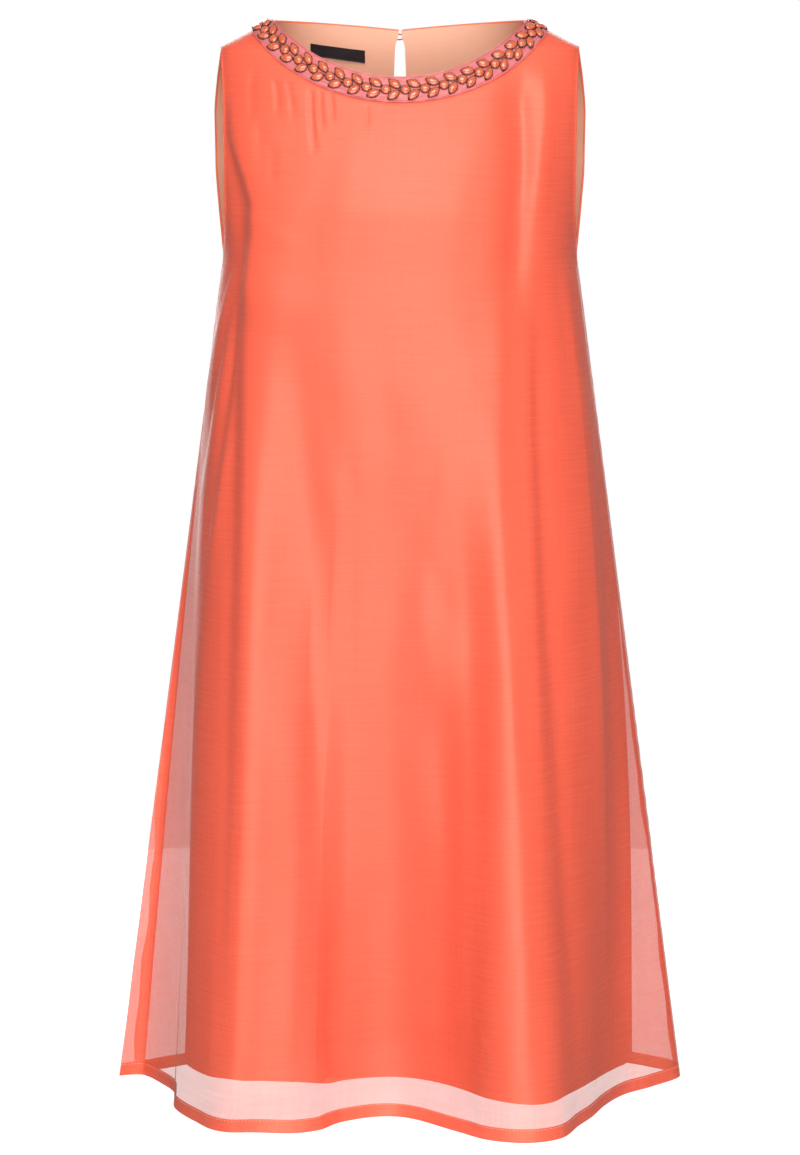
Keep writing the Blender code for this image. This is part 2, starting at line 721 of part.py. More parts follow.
def make_loop(material):
    """The thread loop: it springs from the slit's right edge and passes round the button's shank."""
    route = []
    reach = SHANK_WIDE / 2 + LOOP_THICK / 2 + SMALL_GAP
    height = SMALL_GAP + 0.2 + LOOP_THICK / 2
    start_x = KEYHOLE[1][1] + 3.0
    x, z = BUTTON_MIDDLE
    for turn in np.linspace(0.5 * math.pi, 1.5 * math.pi, 9):
        route.append((x + reach * math.cos(turn), z + reach * math.sin(turn)))
    route = [(start_x, z + 1.2), (start_x - 5.0, z + reach)] + route + [(start_x - 5.0, z - reach), (start_x, z - 1.2)]
    curve = bpy.data.curves.new("loop", "CURVE")
    curve.dimensions = "3D"
    curve.bevel_depth = LOOP_THICK / 2 * MM
    curve.bevel_resolution = 2
    curve.use_fill_caps = True
    line = curve.splines.new("POLY")
    line.points.add(len(route) - 1)
    for point, (px, pz) in zip(line.points, route):
        point.co = (*(Vector(back_point(px, pz, -height)) * MM), 1)
    curve.materials.append(material)
    made = bpy.data.objects.new("loop", curve)
    bpy.context.collection.objects.link(made)
    return made


def make_material(name):
    red, green, blue, roughness = COLOURS[name]
    material = bpy.data.materials.new(name)
    material.use_nodes = True
    shader = material.node_tree.nodes["Principled BSDF"]
    shader.inputs["Base Color"].default_value = (red, green, blue, 1)
    shader.inputs["Roughness"].default_value = roughness
    shader.inputs["Metallic"].default_value = 0.0
    return material


def main():
    for old in list(bpy.data.objects):
        bpy.data.objects.remove(old)
    materials = {name: make_material(name) for name in COLOURS}
    make_panels(materials)
    make_neck_trim(materials["tape"])
    make_label(materials["label"])
    make_button(materials["button"])
    make_loop(materials["thread"])


main()
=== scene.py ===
"""The looks of the sleeveless A-line dress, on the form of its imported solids.

Frame: metres, +Z up, the front faces -Y, and +X is on the right of someone who looks at the front. Sizes in the
tables are in millimetres. The first part repeats the form of the part's own source, on finer grids; the rest adds
creases, sewing, the jewelled tape and the materials, and sets up the studio.
"""

import math

import bmesh
import bpy
import numpy as np
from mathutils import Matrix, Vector


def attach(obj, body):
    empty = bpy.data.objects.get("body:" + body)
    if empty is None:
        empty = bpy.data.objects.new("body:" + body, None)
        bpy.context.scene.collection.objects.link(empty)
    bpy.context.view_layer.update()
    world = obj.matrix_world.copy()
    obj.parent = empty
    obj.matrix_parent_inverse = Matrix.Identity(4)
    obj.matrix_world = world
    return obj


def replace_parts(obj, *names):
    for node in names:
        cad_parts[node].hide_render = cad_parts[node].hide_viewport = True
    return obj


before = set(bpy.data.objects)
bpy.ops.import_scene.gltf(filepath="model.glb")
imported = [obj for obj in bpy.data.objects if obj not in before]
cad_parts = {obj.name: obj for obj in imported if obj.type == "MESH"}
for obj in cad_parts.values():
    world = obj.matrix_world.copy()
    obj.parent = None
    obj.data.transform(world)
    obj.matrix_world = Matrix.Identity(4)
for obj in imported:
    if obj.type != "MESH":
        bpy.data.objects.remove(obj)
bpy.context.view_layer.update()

MM = 0.001
FRONT, BACK = -1, 1  # the sign of y on each side
BODY = "root"

# ---------------------------------------------------------------- sizes of the form, as in the part's source

LINING_DEPTH = 2.0  # the lining's place under the outer dress, in the middle of its solid's wall
# The lining's face carries a painted shade: deep red for light filtered through the voile. Its inside is peach.
LINING_WALL = 0.3  # between the lining's face and its inside, which have their own materials
LINING_SPREAD = {-1: 8.0, 1: 16.0}  # how far the lining fills the outer dress half way down, at each side seam
LINING_LIFT = 0.96  # the share of the outer dress's creases that the lining takes

NECK_Z = 11.0
TIP_Z = -12.0
ARMPIT_Z = -198.0
BUST_Z = -225.0
HEM_Z = -928.0
NECK_HALF = 110.0
TIP_HALF = 155.0
NECKLINE = {FRONT: (51.0, 2.1, 0.9), BACK: (7.5, 1.0, 1.5)}  # its drop, and the powers that shape it
NECK_SHARE = 0.72  # the neckline's share of a panel's top, on each side of the middle
SECTION_ROUND = 2.3
EDGE_PULL = 4.0

FRONT_EDGE = (
    # height, half width of the panel, depth of its edge in front of the side seam
    (-12.0, 155.0, 0.0),
    (-20.0, 154.6, 10.0),
    (-40.0, 153.2, 21.0),
    (-70.0, 152.0, 31.0),
    (-110.0, 151.4, 38.0),
    (-150.0, 151.6, 38.0),
    (-180.0, 152.8, 27.0),
    (-193.0, 154.2, 13.0),
    (-198.0, 155.0, 0.0),
    (-225.0, 158.8, 0.0),
)
BACK_EDGE = (
    (-12.0, 155.0, 0.0),
    (-20.0, 156.6, 9.0),
    (-40.0, 160.0, 21.0),
    (-70.0, 162.8, 33.0),
    (-110.0, 162.8, 42.0),
    (-150.0, 160.4, 42.0),
    (-180.0, 157.2, 30.0),
    (-193.0, 155.4, 15.0),
    (-198.0, 155.0, 0.0),
    (-225.0, 158.8, 0.0),
)
CENTRE_LINE = (
    # height, depth in front, depth behind
    (12.0, 26.0, 38.0),
    (-10.0, 44.0, 46.0),
    (-40.0, 64.0, 58.0),
    (-70.0, 81.0, 68.0),
    (-110.0, 102.0, 80.0),
    (-150.0, 120.0, 89.0),
    (-198.0, 134.0, 95.0),
    (-225.0, 138.0, 96.0),
)
FRONT_HEM = (
    # place, x, y, lining x, lining y, lining's rise, outward belly half way down
    ("seam_left", -232, 0, -184, -8, 34, 4),
    ("side_left", -212, -30, -189, -38, 34, 4),
    ("tuck_left", -199, -60, -189, -64, 35, 5),
    ("edge_left", -196, -104, -186, -94, 36, 5),
    ("step_left", -175, -146, -166, -130, 36, 2),
    ("round_left", -156, -170, -146, -140, 36, 0),
    ("flat_left", -124, -174, -118, -144, 36, 0),
    ("lobe_left", -90, -181, -86, -150, 35, 0),
    ("turn_left", -62, -172, -60, -150, 33, 0),
    ("flank_left", -40, -151, -38, -137, 32, 0),
    ("valley", -6, -139, -4, -127, 31, 0),
    ("flank_right", 31, -169, 33, -147, 31, 0),
    ("turn_right", 68, -196, 70, -178, 30, 0),
    ("lobe_right", 106, -206, 104, -196, 30, 0),
    ("round_right", 137, -192, 128, -184, 28, 0),
    ("step_right", 153, -157, 144, -152, 26, 4),
    ("shelf_right", 166, -130, 157, -124, 24, 9),
    ("edge_right", 180, -94, 171, -86, 20, 14),
    ("side_right", 199, -61, 187, -50, 18, 8),
    ("wing_right", 226, -36, 202, -24, 17, 3),
    ("seam_right", 253, 0, 209, 0, 17, 0),
)
BACK_HEM = (
    ("seam_left", -232, 0, -184, -8, 34, 4),
    ("wrap_left", -253, -2, -181, 14, 34, 0),
    ("wing_left", -224, 16, -174, 34, 34, 0),
    ("tuck_left", -182, 46, -157, 62, 34, 0),
    ("lobe_left", -134, 108, -122, 90, 33, 0),
    ("valley_left", -66, 97, -62, 83, 32, 0),
    ("lobe_middle", 0, 134, 0, 110, 31, 0),
    ("valley_right", 66, 99, 62, 85, 28, 0),
    ("lobe_right", 136, 110, 124, 94, 24, 0),
    ("tuck_right", 186, 56, 170, 62, 20, 0),
    ("wing_right", 224, 30, 200, 32, 18, 0),
    ("seam_right", 253, 0, 209, 0, 17, 0),
)
KEYHOLE = (
    # height, half width
    (3.5, 0.6),
    (-3.0, 1.9),
    (-10.0, 4.1),
    (-26.0, 4.9),
    (-46.0, 5.4),
    (-66.0, 5.2),
    (-81.0, 3.9),
    (-90.0, 0.0),
)

# The fine grids
HEM_CURVE_STEPS = 40  # between two places of a hem's table
SLIT_EASE = 12  # the columns beside the keyhole that make way for it
ROWS_OVER_BUST = {"outer": 118, "lining": 59}
ROWS_OF_SKIRT = {"outer": 168, "lining": 84}
COLUMNS_PER_STEP = {("outer", FRONT): 12, ("outer", BACK): 22, ("lining", FRONT): 6, ("lining", BACK): 11}

# ---------------------------------------------------------------- creases

CREASES = {
    # Each runs down the cloth along its path. Troughs have a negative height.
    FRONT: (
        # name, path as x and height, crease height, width to its left, to its right, share that fades in, fades out
        ("armpit_outer", ((-141, -204), (-148, -226), (-158, -262), (-165, -298), (-172, -340)),
         1.9, 2.6, 3.6, 0.1, 0.6),
        ("armpit_middle", ((-137, -202), (-146, -250), (-155, -300), (-163, -345), (-171, -400), (-178, -520)),
         2.0, 2.8, 4.0, 0.1, 0.55),
        ("armpit_inner", ((-133, -204), (-136, -240), (-139, -290), (-147, -345), (-155, -398), (-162, -450)),
         2.0, 3.0, 4.2, 0.1, 0.5),
        ("between_armpit_a", ((-139, -215), (-150, -262), (-160, -310), (-168, -365)),
         -1.5, 3.0, 3.0, 0.2, 0.6),
        ("between_armpit_b", ((-134, -215), (-140, -262), (-148, -310), (-157, -365), (-166, -430)),
         -1.5, 3.2, 3.2, 0.2, 0.6),
        ("chest_left_edge", ((-143, -72), (-139, -95), (-129, -120), (-119, -148), (-117, -175), (-121, -235)),
         7.0, 8.0, 34.0, 0.3, 0.3),
        ("chest_left_hollow", ((-147, -80), (-144, -110), (-138, -140), (-133, -180), (-132, -230)),
         -2.6, 7.0, 8.0, 0.3, 0.35),
        ("flank_edge", ((-121, -180), (-125, -280), (-127, -400), (-130, -560), (-134, -740), (-141, -928)),
         9.0, 13.0, 32.0, 0.15, 0.1),
        ("lobe_left_cut", ((-95, -640), (-93, -760), (-91, -928)), -6.0, 25.0, 24.0, 0.4, 0.1),
        ("lobe_left_slope", ((-84, -350), (-78, -430), (-70, -545), (-60, -650), (-50, -790), (-42, -928)),
         -21.0, 35.0, 48.0, 0.5, 0.1),
        ("valley_floor", ((46, -400), (52, -520), (52, -650), (48, -790), (44, -928)),
         -14.0, 54.0, 25.0, 0.4, 0.1),
        ("valley_wide", ((28, -580), (25, -700), (21, -928)), -8.0, 30.0, 19.0, 0.35, 0.1),
        ("flank_hollow", ((-137, -200), (-140, -300), (-142, -420), (-146, -600), (-152, -800)),
         -2.4, 8.0, 9.0, 0.2, 0.4),
        ("gather_a", ((-126, -34), (-128, -50), (-126, -74)), -1.0, 3.0, 4.0, 0.2, 0.6),
        ("gather_b", ((-107, -42), (-105, -52), (-104, -70)), -1.1, 2.4, 3.2, 0.2, 0.6),
        ("gather_c", ((-96, -44), (-93, -58), (-91, -72)), -0.7, 2.0, 3.0, 0.2, 0.6),
        ("gather_d", ((-76, -52), (-75, -74), (-73, -98)), -1.5, 2.4, 4.0, 0.15, 0.6),
        ("gather_e", ((-68, -53), (-68, -66), (-66, -80)), -1.3, 2.0, 2.4, 0.15, 0.6),
        ("gather_f", ((-59, -54), (-58, -64), (-57, -74)), -1.1, 1.8, 2.2, 0.15, 0.6),
        ("gather_g", ((-29, -64), (-28, -72), (-28, -80)), -0.8, 2.2, 2.6, 0.2, 0.6),
        ("gather_ridge", ((-71.5, -54), (-71, -70), (-70, -90)), 0.8, 2.0, 2.0, 0.2, 0.6),
        ("chest_soft_a", ((-119, -78), (-117, -100), (-115, -122)), -1.0, 4.0, 6.0, 0.4, 0.5),
        ("chest_soft_b", ((-108, -98), (-107, -114), (-106, -130)), -1.0, 4.0, 5.0, 0.4, 0.5),
        ("chest_right_trough", ((103, -45), (105, -80), (106, -120), (104, -165), (100, -215)),
         -7.0, 16.0, 8.0, 0.25, 0.4),
        ("chest_right_ridge", ((124, -40), (124, -75), (119, -110), (114, -140), (111, -160)),
         3.0, 7.0, 12.0, 0.3, 0.35),
        ("bust_right_line", ((84, -215), (83, -300), (82, -400), (88, -500), (95, -620)),
         1.6, 14.0, 7.0, 0.25, 0.4),
        ("skirt_right_line", ((117, -262), (118, -340), (121, -397), (125, -481), (131, -566), (138, -680), (144, -800)),
         -2.2, 6.0, 8.0, 0.2, 0.4),
        ("skirt_right_ridge", ((108, -262), (109, -340), (111, -420), (115, -520), (120, -640)),
         1.2, 6.0, 6.0, 0.25, 0.4),
        ("waist_diagonal", ((-76, -280), (-64, -325), (-50, -368), (-34, -400)), -0.9, 18.0, 14.0, 0.6, 0.6),
        ("waist_soft", ((-87, -262), (-85, -300), (-84, -350), (-82, -420)), -0.6, 14.0, 14.0, 0.6, 0.6),
        ("middle_upper", ((24, -365), (18, -405), (9, -445), (0, -485)), -0.8, 16.0, 12.0, 0.6, 0.6),
        ("middle_upper_ridge", ((34, -380), (29, -420), (23, -460)), 0.6, 14.0, 14.0, 0.6, 0.6),
        ("middle_side", ((18, -435), (27, -462), (38, -495)), -0.6, 14.0, 10.0, 0.6, 0.6),
        ("middle_lower", ((2, -480), (6, -515), (12, -550), (16, -590)), -0.8, 14.0, 13.0, 0.6, 0.6),
        ("lobe_flank", ((70, -380), (71, -440), (70, -480), (67, -520), (62, -580), (58, -680)),
         -1.5, 14.0, 14.0, 0.5, 0.6),
        ("lobe_front", ((92, -520), (97, -620), (102, -740), (106, -860)), 1.4, 9.0, 12.0, 0.3, 0.3),
        ("hem_diagonal", ((62, -838), (66, -846), (70, -852)), 0.7, 3.0, 3.0, 0.4, 0.4),
        ("hip_small_a", ((-12, -300), (-10, -322), (-7, -350)), -0.5, 9.0, 11.0, 0.6, 0.6),
        ("hip_small_b", ((30, -262), (34, -300), (36, -330)), -0.5, 10.0, 9.0, 0.6, 0.6),
        ("belly_small", ((48, -330), (44, -362), (38, -392)), 0.5, 11.0, 10.0, 0.6, 0.6),
        ("fold_edge_right", ((141, -205), (150, -262), (162, -335), (171, -420), (175, -520), (177, -700)),
         1.4, 5.0, 4.0, 0.1, 0.5),
    ),
    BACK: (
        ("armpit_left_a", ((-140, -206), (-149, -250), (-160, -310), (-170, -380)), 1.8, 3.6, 2.6, 0.1, 0.6),
        ("armpit_left_b", ((-132, -204), (-138, -260), (-147, -330), (-158, -420)),
         1.9, 4.0, 3.0, 0.1, 0.55),
        ("armpit_left_c", ((-136, -212), (-144, -262), (-154, -330)), -1.4, 3.0, 3.0, 0.2, 0.6),
        ("armpit_right_a", ((139, -205), (150, -258), (162, -330), (172, -410)), 1.8, 2.6, 3.6, 0.1, 0.6),
        ("armpit_right_b", ((131, -206), (137, -265), (147, -350), (156, -430)), 1.7, 3.0, 4.0, 0.1, 0.55),
        ("armpit_right_c", ((135, -212), (143, -268), (155, -340)), -1.3, 3.0, 3.0, 0.2, 0.6),
        ("blade_left", ((-96, -28), (-92, -70), (-86, -120), (-80, -190)), -2.2, 12.0, 8.0, 0.3, 0.4),
        ("blade_left_ridge", ((-118, -40), (-114, -90), (-108, -150)), 1.8, 9.0, 9.0, 0.3, 0.4),
        ("blade_right", ((99, -30), (94, -78), (90, -130), (83, -205)), -2.0, 8.0, 12.0, 0.3, 0.4),
        ("blade_right_ridge", ((120, -44), (115, -95), (106, -160)), 1.6, 9.0, 9.0, 0.3, 0.4),
        ("keyhole_left", ((-6, -88), (-11, -120), (-17, -165)), -0.6, 7.0, 6.0, 0.2, 0.6),
        ("keyhole_right", ((6, -88), (10, -124), (13, -158)), -0.6, 6.0, 7.0, 0.2, 0.6),
        ("keyhole_middle", ((0, -92), (1, -130), (2, -190)), 0.5, 7.0, 7.0, 0.2, 0.6),
        ("back_long_a", ((-46, -250), (-50, -380), (-56, -520), (-62, -680)), -4.0, 20.0, 26.0, 0.3, 0.4),
        ("back_long_b", ((38, -262), (44, -400), (52, -560), (58, -700)), -3.6, 26.0, 20.0, 0.3, 0.4),
        ("back_diagonal_a", ((-92, -300), (-76, -345), (-58, -395)), -0.9, 15.0, 11.0, 0.6, 0.6),
        ("back_diagonal_b", ((84, -330), (70, -370), (54, -402)), -0.8, 11.0, 15.0, 0.6, 0.6),
        ("back_middle_a", ((-8, -360), (-4, -410), (3, -452)), -0.8, 13.0, 11.0, 0.6, 0.6),
        ("back_middle_b", ((16, -470), (12, -520), (6, -566)), -0.9, 11.0, 13.0, 0.6, 0.6),
        ("back_flank_left", ((-118, -230), (-124, -400), (-130, -600), (-134, -800)),
         3.2, 24.0, 18.0, 0.25, 0.35),
        ("back_flank_right", ((118, -230), (125, -410), (131, -610), (136, -820)),
         3.2, 18.0, 24.0, 0.25, 0.35),
    ),
}
ACROSS = {
    # Each runs across the cloth: path as x and height, crease height, width over it, width under it, fades
    FRONT: (
        ("bust_drape", ((-150, -166), (-140, -161), (-128, -159), (-116, -163), (-98, -173), (-76, -186)),
         0.5, 7.0, 10.0, 0.15, 0.7),
        ("bust_drape_low", ((-146, -186), (-132, -183), (-118, -190), (-104, -204)),
         0.4, 6.0, 9.0, 0.2, 0.7),
        ("bust_tone", ((-60, -158), (0, -156), (70, -160)), 0.5, 12.0, 9.0, 0.4, 0.4),
    ),
    BACK: (
        ("blade_drape_left", ((-150, -172), (-132, -166), (-112, -174), (-90, -190)),
         0.9, 4.0, 7.0, 0.15, 0.5),
        ("blade_drape_right", ((92, -192), (112, -176), (134, -168), (150, -174)), 0.9, 4.0, 7.0, 0.5, 0.15),
    ),
}
RIPPLE = 0.22  # the height of the finest unevenness of hanging cloth


# ---------------------------------------------------------------- curves and sections


def smooth_lookup(at, table, column):
    """A table's column at the heights given, by a cubic that doesn't overshoot. The first column is the height."""
    rows = sorted(table)
    places = np.array([row[0] for row in rows], float)
    values = np.array([row[column] for row in rows], float)
    steps = np.diff(places)
    slopes = np.diff(values) / steps
    tangents = np.concatenate([slopes[:1], np.zeros(len(slopes) - 1), slopes[-1:]])
    for k in range(1, len(slopes)):
        if slopes[k - 1] * slopes[k] > 0:
            tangents[k] = 2 * slopes[k - 1] * slopes[k] / (slopes[k - 1] + slopes[k])
    at = np.clip(np.asarray(at, float), places[0], places[-1])
    k = np.clip(np.searchsorted(places, at, side="right") - 1, 0, len(steps) - 1)
    t = (at - places[k]) / steps[k]
    start = (1 + 2 * t) * (1 - t) ** 2 * values[k] + t * (1 - t) ** 2 * steps[k] * tangents[k]
    end = t**2 * (3 - 2 * t) * values[k + 1] - t**2 * (1 - t) * steps[k] * tangents[k + 1]
    return start + end


def lengths_along(points):
    """The distance along a line of points, from its first."""
    return np.concatenate([[0.0], np.cumsum(np.linalg.norm(np.diff(points, axis=0), axis=1))])


def read_line(at, places, points):
    """The points of a line at other places along it."""
    return np.stack([np.interp(at, places, points[:, k]) for k in range(points.shape[1])], axis=-1)


def spline(points, per_step, before, after):
    """A Catmull-Rom curve through the points, given their neighbours beyond the two ends."""
    ends = np.vstack([before, points, after])
    t = np.linspace(0, 1, per_step, endpoint=False)[:, None]
    made = []
    for k in range(1, len(ends) - 2):
        a, b, c, d = ends[k - 1 : k + 3]
        made.append(b + 0.5 * t * (c - a + t * (2 * a - 5 * b + 4 * c - d + t * (3 * b - a - 3 * c + d))))
    return np.vstack(made + [ends[-2]])


def smooth_step(share):
    share = np.clip(share, 0, 1)
    return share * share * (3 - 2 * share)


def unit(vectors):
    return vectors / np.linalg.norm(vectors, axis=-1, keepdims=True)


def edge_half(side, z):
    """A panel's half width at heights z: along the shoulder seam, the armhole and the top of the side seam."""
    z = np.asarray(z, float)
    shoulder = TIP_HALF + (z - TIP_Z) * (NECK_HALF - TIP_HALF) / (NECK_Z - TIP_Z)
    below = smooth_lookup(z, FRONT_EDGE if side == FRONT else BACK_EDGE, 1)
    return np.where(z > TIP_Z, shoulder, below)


def form_point(side, x, z):
    """Points of the form over the bust, at places x and heights z as seen from the front."""
    x, z = np.broadcast_arrays(np.asarray(x, float), np.asarray(z, float))
    across = np.clip(np.abs(x) / edge_half(side, z), 0, 1)
    edge_depth = smooth_lookup(z, FRONT_EDGE if side == FRONT else BACK_EDGE, 2)
    centre = smooth_lookup(z, CENTRE_LINE, 1 if side == FRONT else 2)
    rounding = 1 - (edge_depth / centre) ** SECTION_ROUND
    depth = centre * (1 - rounding * across**SECTION_ROUND) ** (1 / SECTION_ROUND)
    return np.stack([x, side * depth, z], axis=-1)


def top_edge(side, shares):
    """x and height at the top of each column: along the neckline, then the shoulder seam."""
    shares = np.asarray(shares, float)
    drop, width_power, drop_power = NECKLINE[side]
    x = NECK_HALF * np.clip(shares / NECK_SHARE, -1, 1)
    fall = np.clip(1 - (np.abs(x) / NECK_HALF) ** width_power, 0, 1) ** drop_power
    on_shoulder = np.clip((np.abs(shares) - NECK_SHARE) / (1 - NECK_SHARE), 0, 1)
    x = x + np.sign(shares) * (TIP_HALF - NECK_HALF) * on_shoulder
    return x, NECK_Z - drop * fall + (TIP_Z - NECK_Z) * on_shoulder


def bust_x(side, shares):
    """x at the bust for shares of the panel's length there."""
    turn = np.linspace(-math.pi / 2, math.pi / 2, 721)
    across = np.sign(turn) * np.abs(np.sin(turn)) ** (2 / SECTION_ROUND)
    x = across * edge_half(side, BUST_Z)
    length = lengths_along(form_point(side, x, BUST_Z))
    return np.interp(shares, 2 * length / length[-1] - 1, x)


def hem_table(side):
    return FRONT_HEM if side == FRONT else BACK_HEM


def hem_curve(side, lining):
    """The hem in plan as a smooth curve, which goes on smoothly in the other panel's."""
    first = 3 if lining else 1
    mine, others = (np.array([row[first : first + 2] for row in hem_table(s)], float) for s in (side, -side))
    return spline(mine, HEM_CURVE_STEPS, others[1], others[-2])


def station_shares(side):
    """Where each place of the hem's table lies across the panel, from -1 to 1, by the outer hem's length."""
    curve = hem_curve(side, False)
    length = lengths_along(curve)
    per_step = (len(curve) - 1) // (len(hem_table(side)) - 1)
    return (2 * length / length[-1] - 1)[::per_step]


def by_station(side, shares, column):
    values = [row[column] for row in hem_table(side)]
    return np.interp(shares, station_shares(side), values)


def hem_points(side, lining, shares):
    """The hem in plan at shares of the panel. The lining follows the outer dress place by place."""
    curve = hem_curve(side, lining)
    count = len(hem_table(side)) - 1
    step = np.interp(shares, station_shares(side), np.arange(count + 1))
    return read_line(step, np.linspace(0, count, len(curve)), curve)


def skirt_row(side, lining, shares, bust, height):
    """A row of the skirt. Each of its points lies on a straight line from bust to hem, apart from the belly."""
    down = (BUST_Z - height) / (BUST_Z - HEM_Z)
    line = (1 - down) * bust[:, :2] + down * hem_points(side, lining, shares)
    line[:, 0] += np.sign(shares) * by_station(side, shares, 6) * math.sin(math.pi * down**0.8)
    if lining:
        spread = np.where(shares < 0, LINING_SPREAD[-1], LINING_SPREAD[1])
        line[:, 0] += np.sign(shares) * np.abs(shares) ** 7 * spread * math.sin(math.pi * down)
    rise = by_station(side, shares, 5) if lining else np.zeros(len(shares))
    return np.column_stack([line, BUST_Z - down * (BUST_Z - HEM_Z - rise)])


# ---------------------------------------------------------------- the panels' fine grids


def grid_normals(points):
    """Unit normals of a grid of points, facing out of the dress."""
    normals = np.cross(np.gradient(points, axis=0), np.gradient(points, axis=1))
    if (normals * points * (1, 1, 0)).sum() < 0:
        normals = -normals
    return unit(normals)


def crease_lift(side, points):
    """How far the creases lift each point of a grid off the plain form."""
    x, z = points[..., 0], points[..., 2]
    lift = np.zeros(x.shape)
    for along, table in ((2, CREASES[side]), (0, ACROSS[side])):
        for _, path, height, before, after, fade_in, fade_out in table:
            lift += height * crease_shape(x, z, np.array(path, float), along, before, after, fade_in, fade_out)
    return lift


def crease_shape(x, z, path, along, before, after, fade_in, fade_out):
    """A crease's profile, from 0 to 1. along is 2 where it runs down the cloth and 0 where it runs across."""
    if along == 2:
        start, end = path[0, 1], path[-1, 1]
        run = (start - z) / (start - end)
        off = x - np.interp(-z, -path[:, 1], path[:, 0])
    else:
        start, end = path[0, 0], path[-1, 0]
        run = (x - start) / (end - start)
        off = np.interp(x, path[:, 0], path[:, 1]) - z
    width = np.where(off < 0, before, after)
    fade = smooth_step(run / fade_in + 0.5) * smooth_step((1 - run) / fade_out + 0.5)
    return fade * np.exp(-((off / width) ** 2))


def ripples(side, points, shares):
    """Slow unevenness of the cloth, under three quarters of a millimetre high, the same on every run."""
    x, z = points[..., 0], points[..., 2]
    down = np.clip(z / HEM_Z, 0, 1)
    waves = np.sin(x / 9.1 + 1.7 * np.sin(z / 47.0)) * np.sin(z / 83.0 + x / 31.0 + side)
    waves += 0.7 * np.sin(x / 5.3 - z / 140.0 + 2.1 * np.sin(z / 61.0 + side)) * np.sin(z / 57.0 + 0.6)
    waves += 0.5 * np.sin(x / 14.0 + z / 36.0) * np.sin(x / 40.0 - z / 90.0)
    return RIPPLE * waves * (0.5 + down) * (1 - np.abs(shares) ** 8)


def seam_pucker(points, shares, from_edge):
    """Fine puckers along the side seams, and the groove of the seam itself."""
    z = points[..., 2]
    near = np.exp(-from_edge / 7.0)
    wave = np.sin(z / 2.9 + 2.0 * np.sin(z / 23.0)) * (0.6 + 0.4 * np.sin(z / 61.0))
    groove = -0.7 * np.exp(-((from_edge / 1.5) ** 2))
    return np.where(z < ARMPIT_Z, 0.28 * wave * near + groove, 0.0)


class Panel:
    """One panel's fine grid: its points, its outward normals, and its place across as shares from -1 to 1."""

    def __init__(self, layer, side):
        stations = station_shares(side)
        per_step = COLUMNS_PER_STEP[layer, side]
        count = (len(stations) - 1) * per_step
        shares = np.interp(np.arange(count + 1) / per_step, np.arange(len(stations)), stations)
        shares[np.argmin(np.abs(shares))] = 0.0
        self.side, self.layer, self.shares = side, layer, shares
        self.over_bust = ROWS_OVER_BUST[layer]
        self.heights = np.linspace(BUST_Z, HEM_Z, ROWS_OF_SKIRT[layer])
        outer = self.outer_form()
        normals = grid_normals(outer)
        lift = self.lift(outer)
        if layer == "outer":
            plain = outer
        else:
            plain = self.lining_form(outer, normals)
            lift = lift * LINING_LIFT
        self.points = plain + grid_normals(plain) * lift[..., None]
        self.set_mitres(normals, outer)
        self.normals = grid_normals(self.points)

    def lift(self, outer):
        from_edge = self.lengths_from_edge(outer)
        return (
            crease_lift(self.side, outer) * (1 - np.exp(-((from_edge / 9.0) ** 2)))
            + ripples(self.side, outer, self.shares)
            + seam_pucker(outer, self.shares, from_edge)
        )

    def lengths_from_edge(self, outer):
        steps = np.linalg.norm(np.diff(outer, axis=1), axis=2)
        along = np.concatenate([np.zeros((len(outer), 1)), np.cumsum(steps, axis=1)], axis=1)
        return np.minimum(along, along[:, -1:] - along)

    def outer_form(self):
        top_x, top_z = top_edge(self.side, self.shares)
        foot_x = bust_x(self.side, self.shares)
        rows = []
        for way in np.linspace(0, 1, self.over_bust, endpoint=False):
            z = top_z + (BUST_Z - top_z) * way
            x = top_x + (foot_x - top_x) * way
            pull = edge_half(self.side, z[-1]) - x[-1]
            x = x + np.sign(self.shares) * pull * np.abs(self.shares) ** EDGE_PULL
            rows.append(form_point(self.side, x, z))
        bust = form_point(self.side, foot_x, BUST_Z)
        rows += [skirt_row(self.side, False, self.shares, bust, z) for z in self.heights]
        return np.array(rows)

    def lining_form(self, outer, normals):
        level = unit(normals[self.over_bust] * (1, 1, 0))
        upper = outer[: self.over_bust] - normals[: self.over_bust] * LINING_DEPTH
        bust = outer[self.over_bust] - level * LINING_DEPTH
        skirt = [skirt_row(self.side, True, self.shares, bust, z) for z in self.heights]
        return np.concatenate([upper, skirt])

    def set_mitres(self, normals, outer):
        """Along the shoulder seam and the side seams front and back meet in one line."""
        depth = 0.0 if self.layer == "outer" else LINING_DEPTH
        on_shoulder = np.abs(self.shares) >= NECK_SHARE
        fall = unit(normals[0] * (1, 0, 1))
        self.points[0, on_shoulder] = (outer[0] - fall * depth)[on_shoulder]
        for end in (0, -1):
            below = slice(self.over_bust, None)
            self.points[below, end] = seam_line(self, end, below)


def seam_line(panel, end, rows):
    """A side seam's points: the plain form's edge, which front and back share, a little drawn in."""
    lining = panel.layer == "lining"
    bust = np.array([(panel.shares[end]) * edge_half(FRONT, BUST_Z), 0.0, BUST_Z])
    if lining:
        bust[0] -= panel.shares[end] * LINING_DEPTH
    shares = np.array([panel.shares[end]])
    made = [skirt_row(panel.side, lining, shares, bust[None, :], z)[0] for z in panel.heights]
    made = np.array(made)
    made[:, 0] -= panel.shares[end] * 0.5
    return made


# ---------------------------------------------------------------- meshes


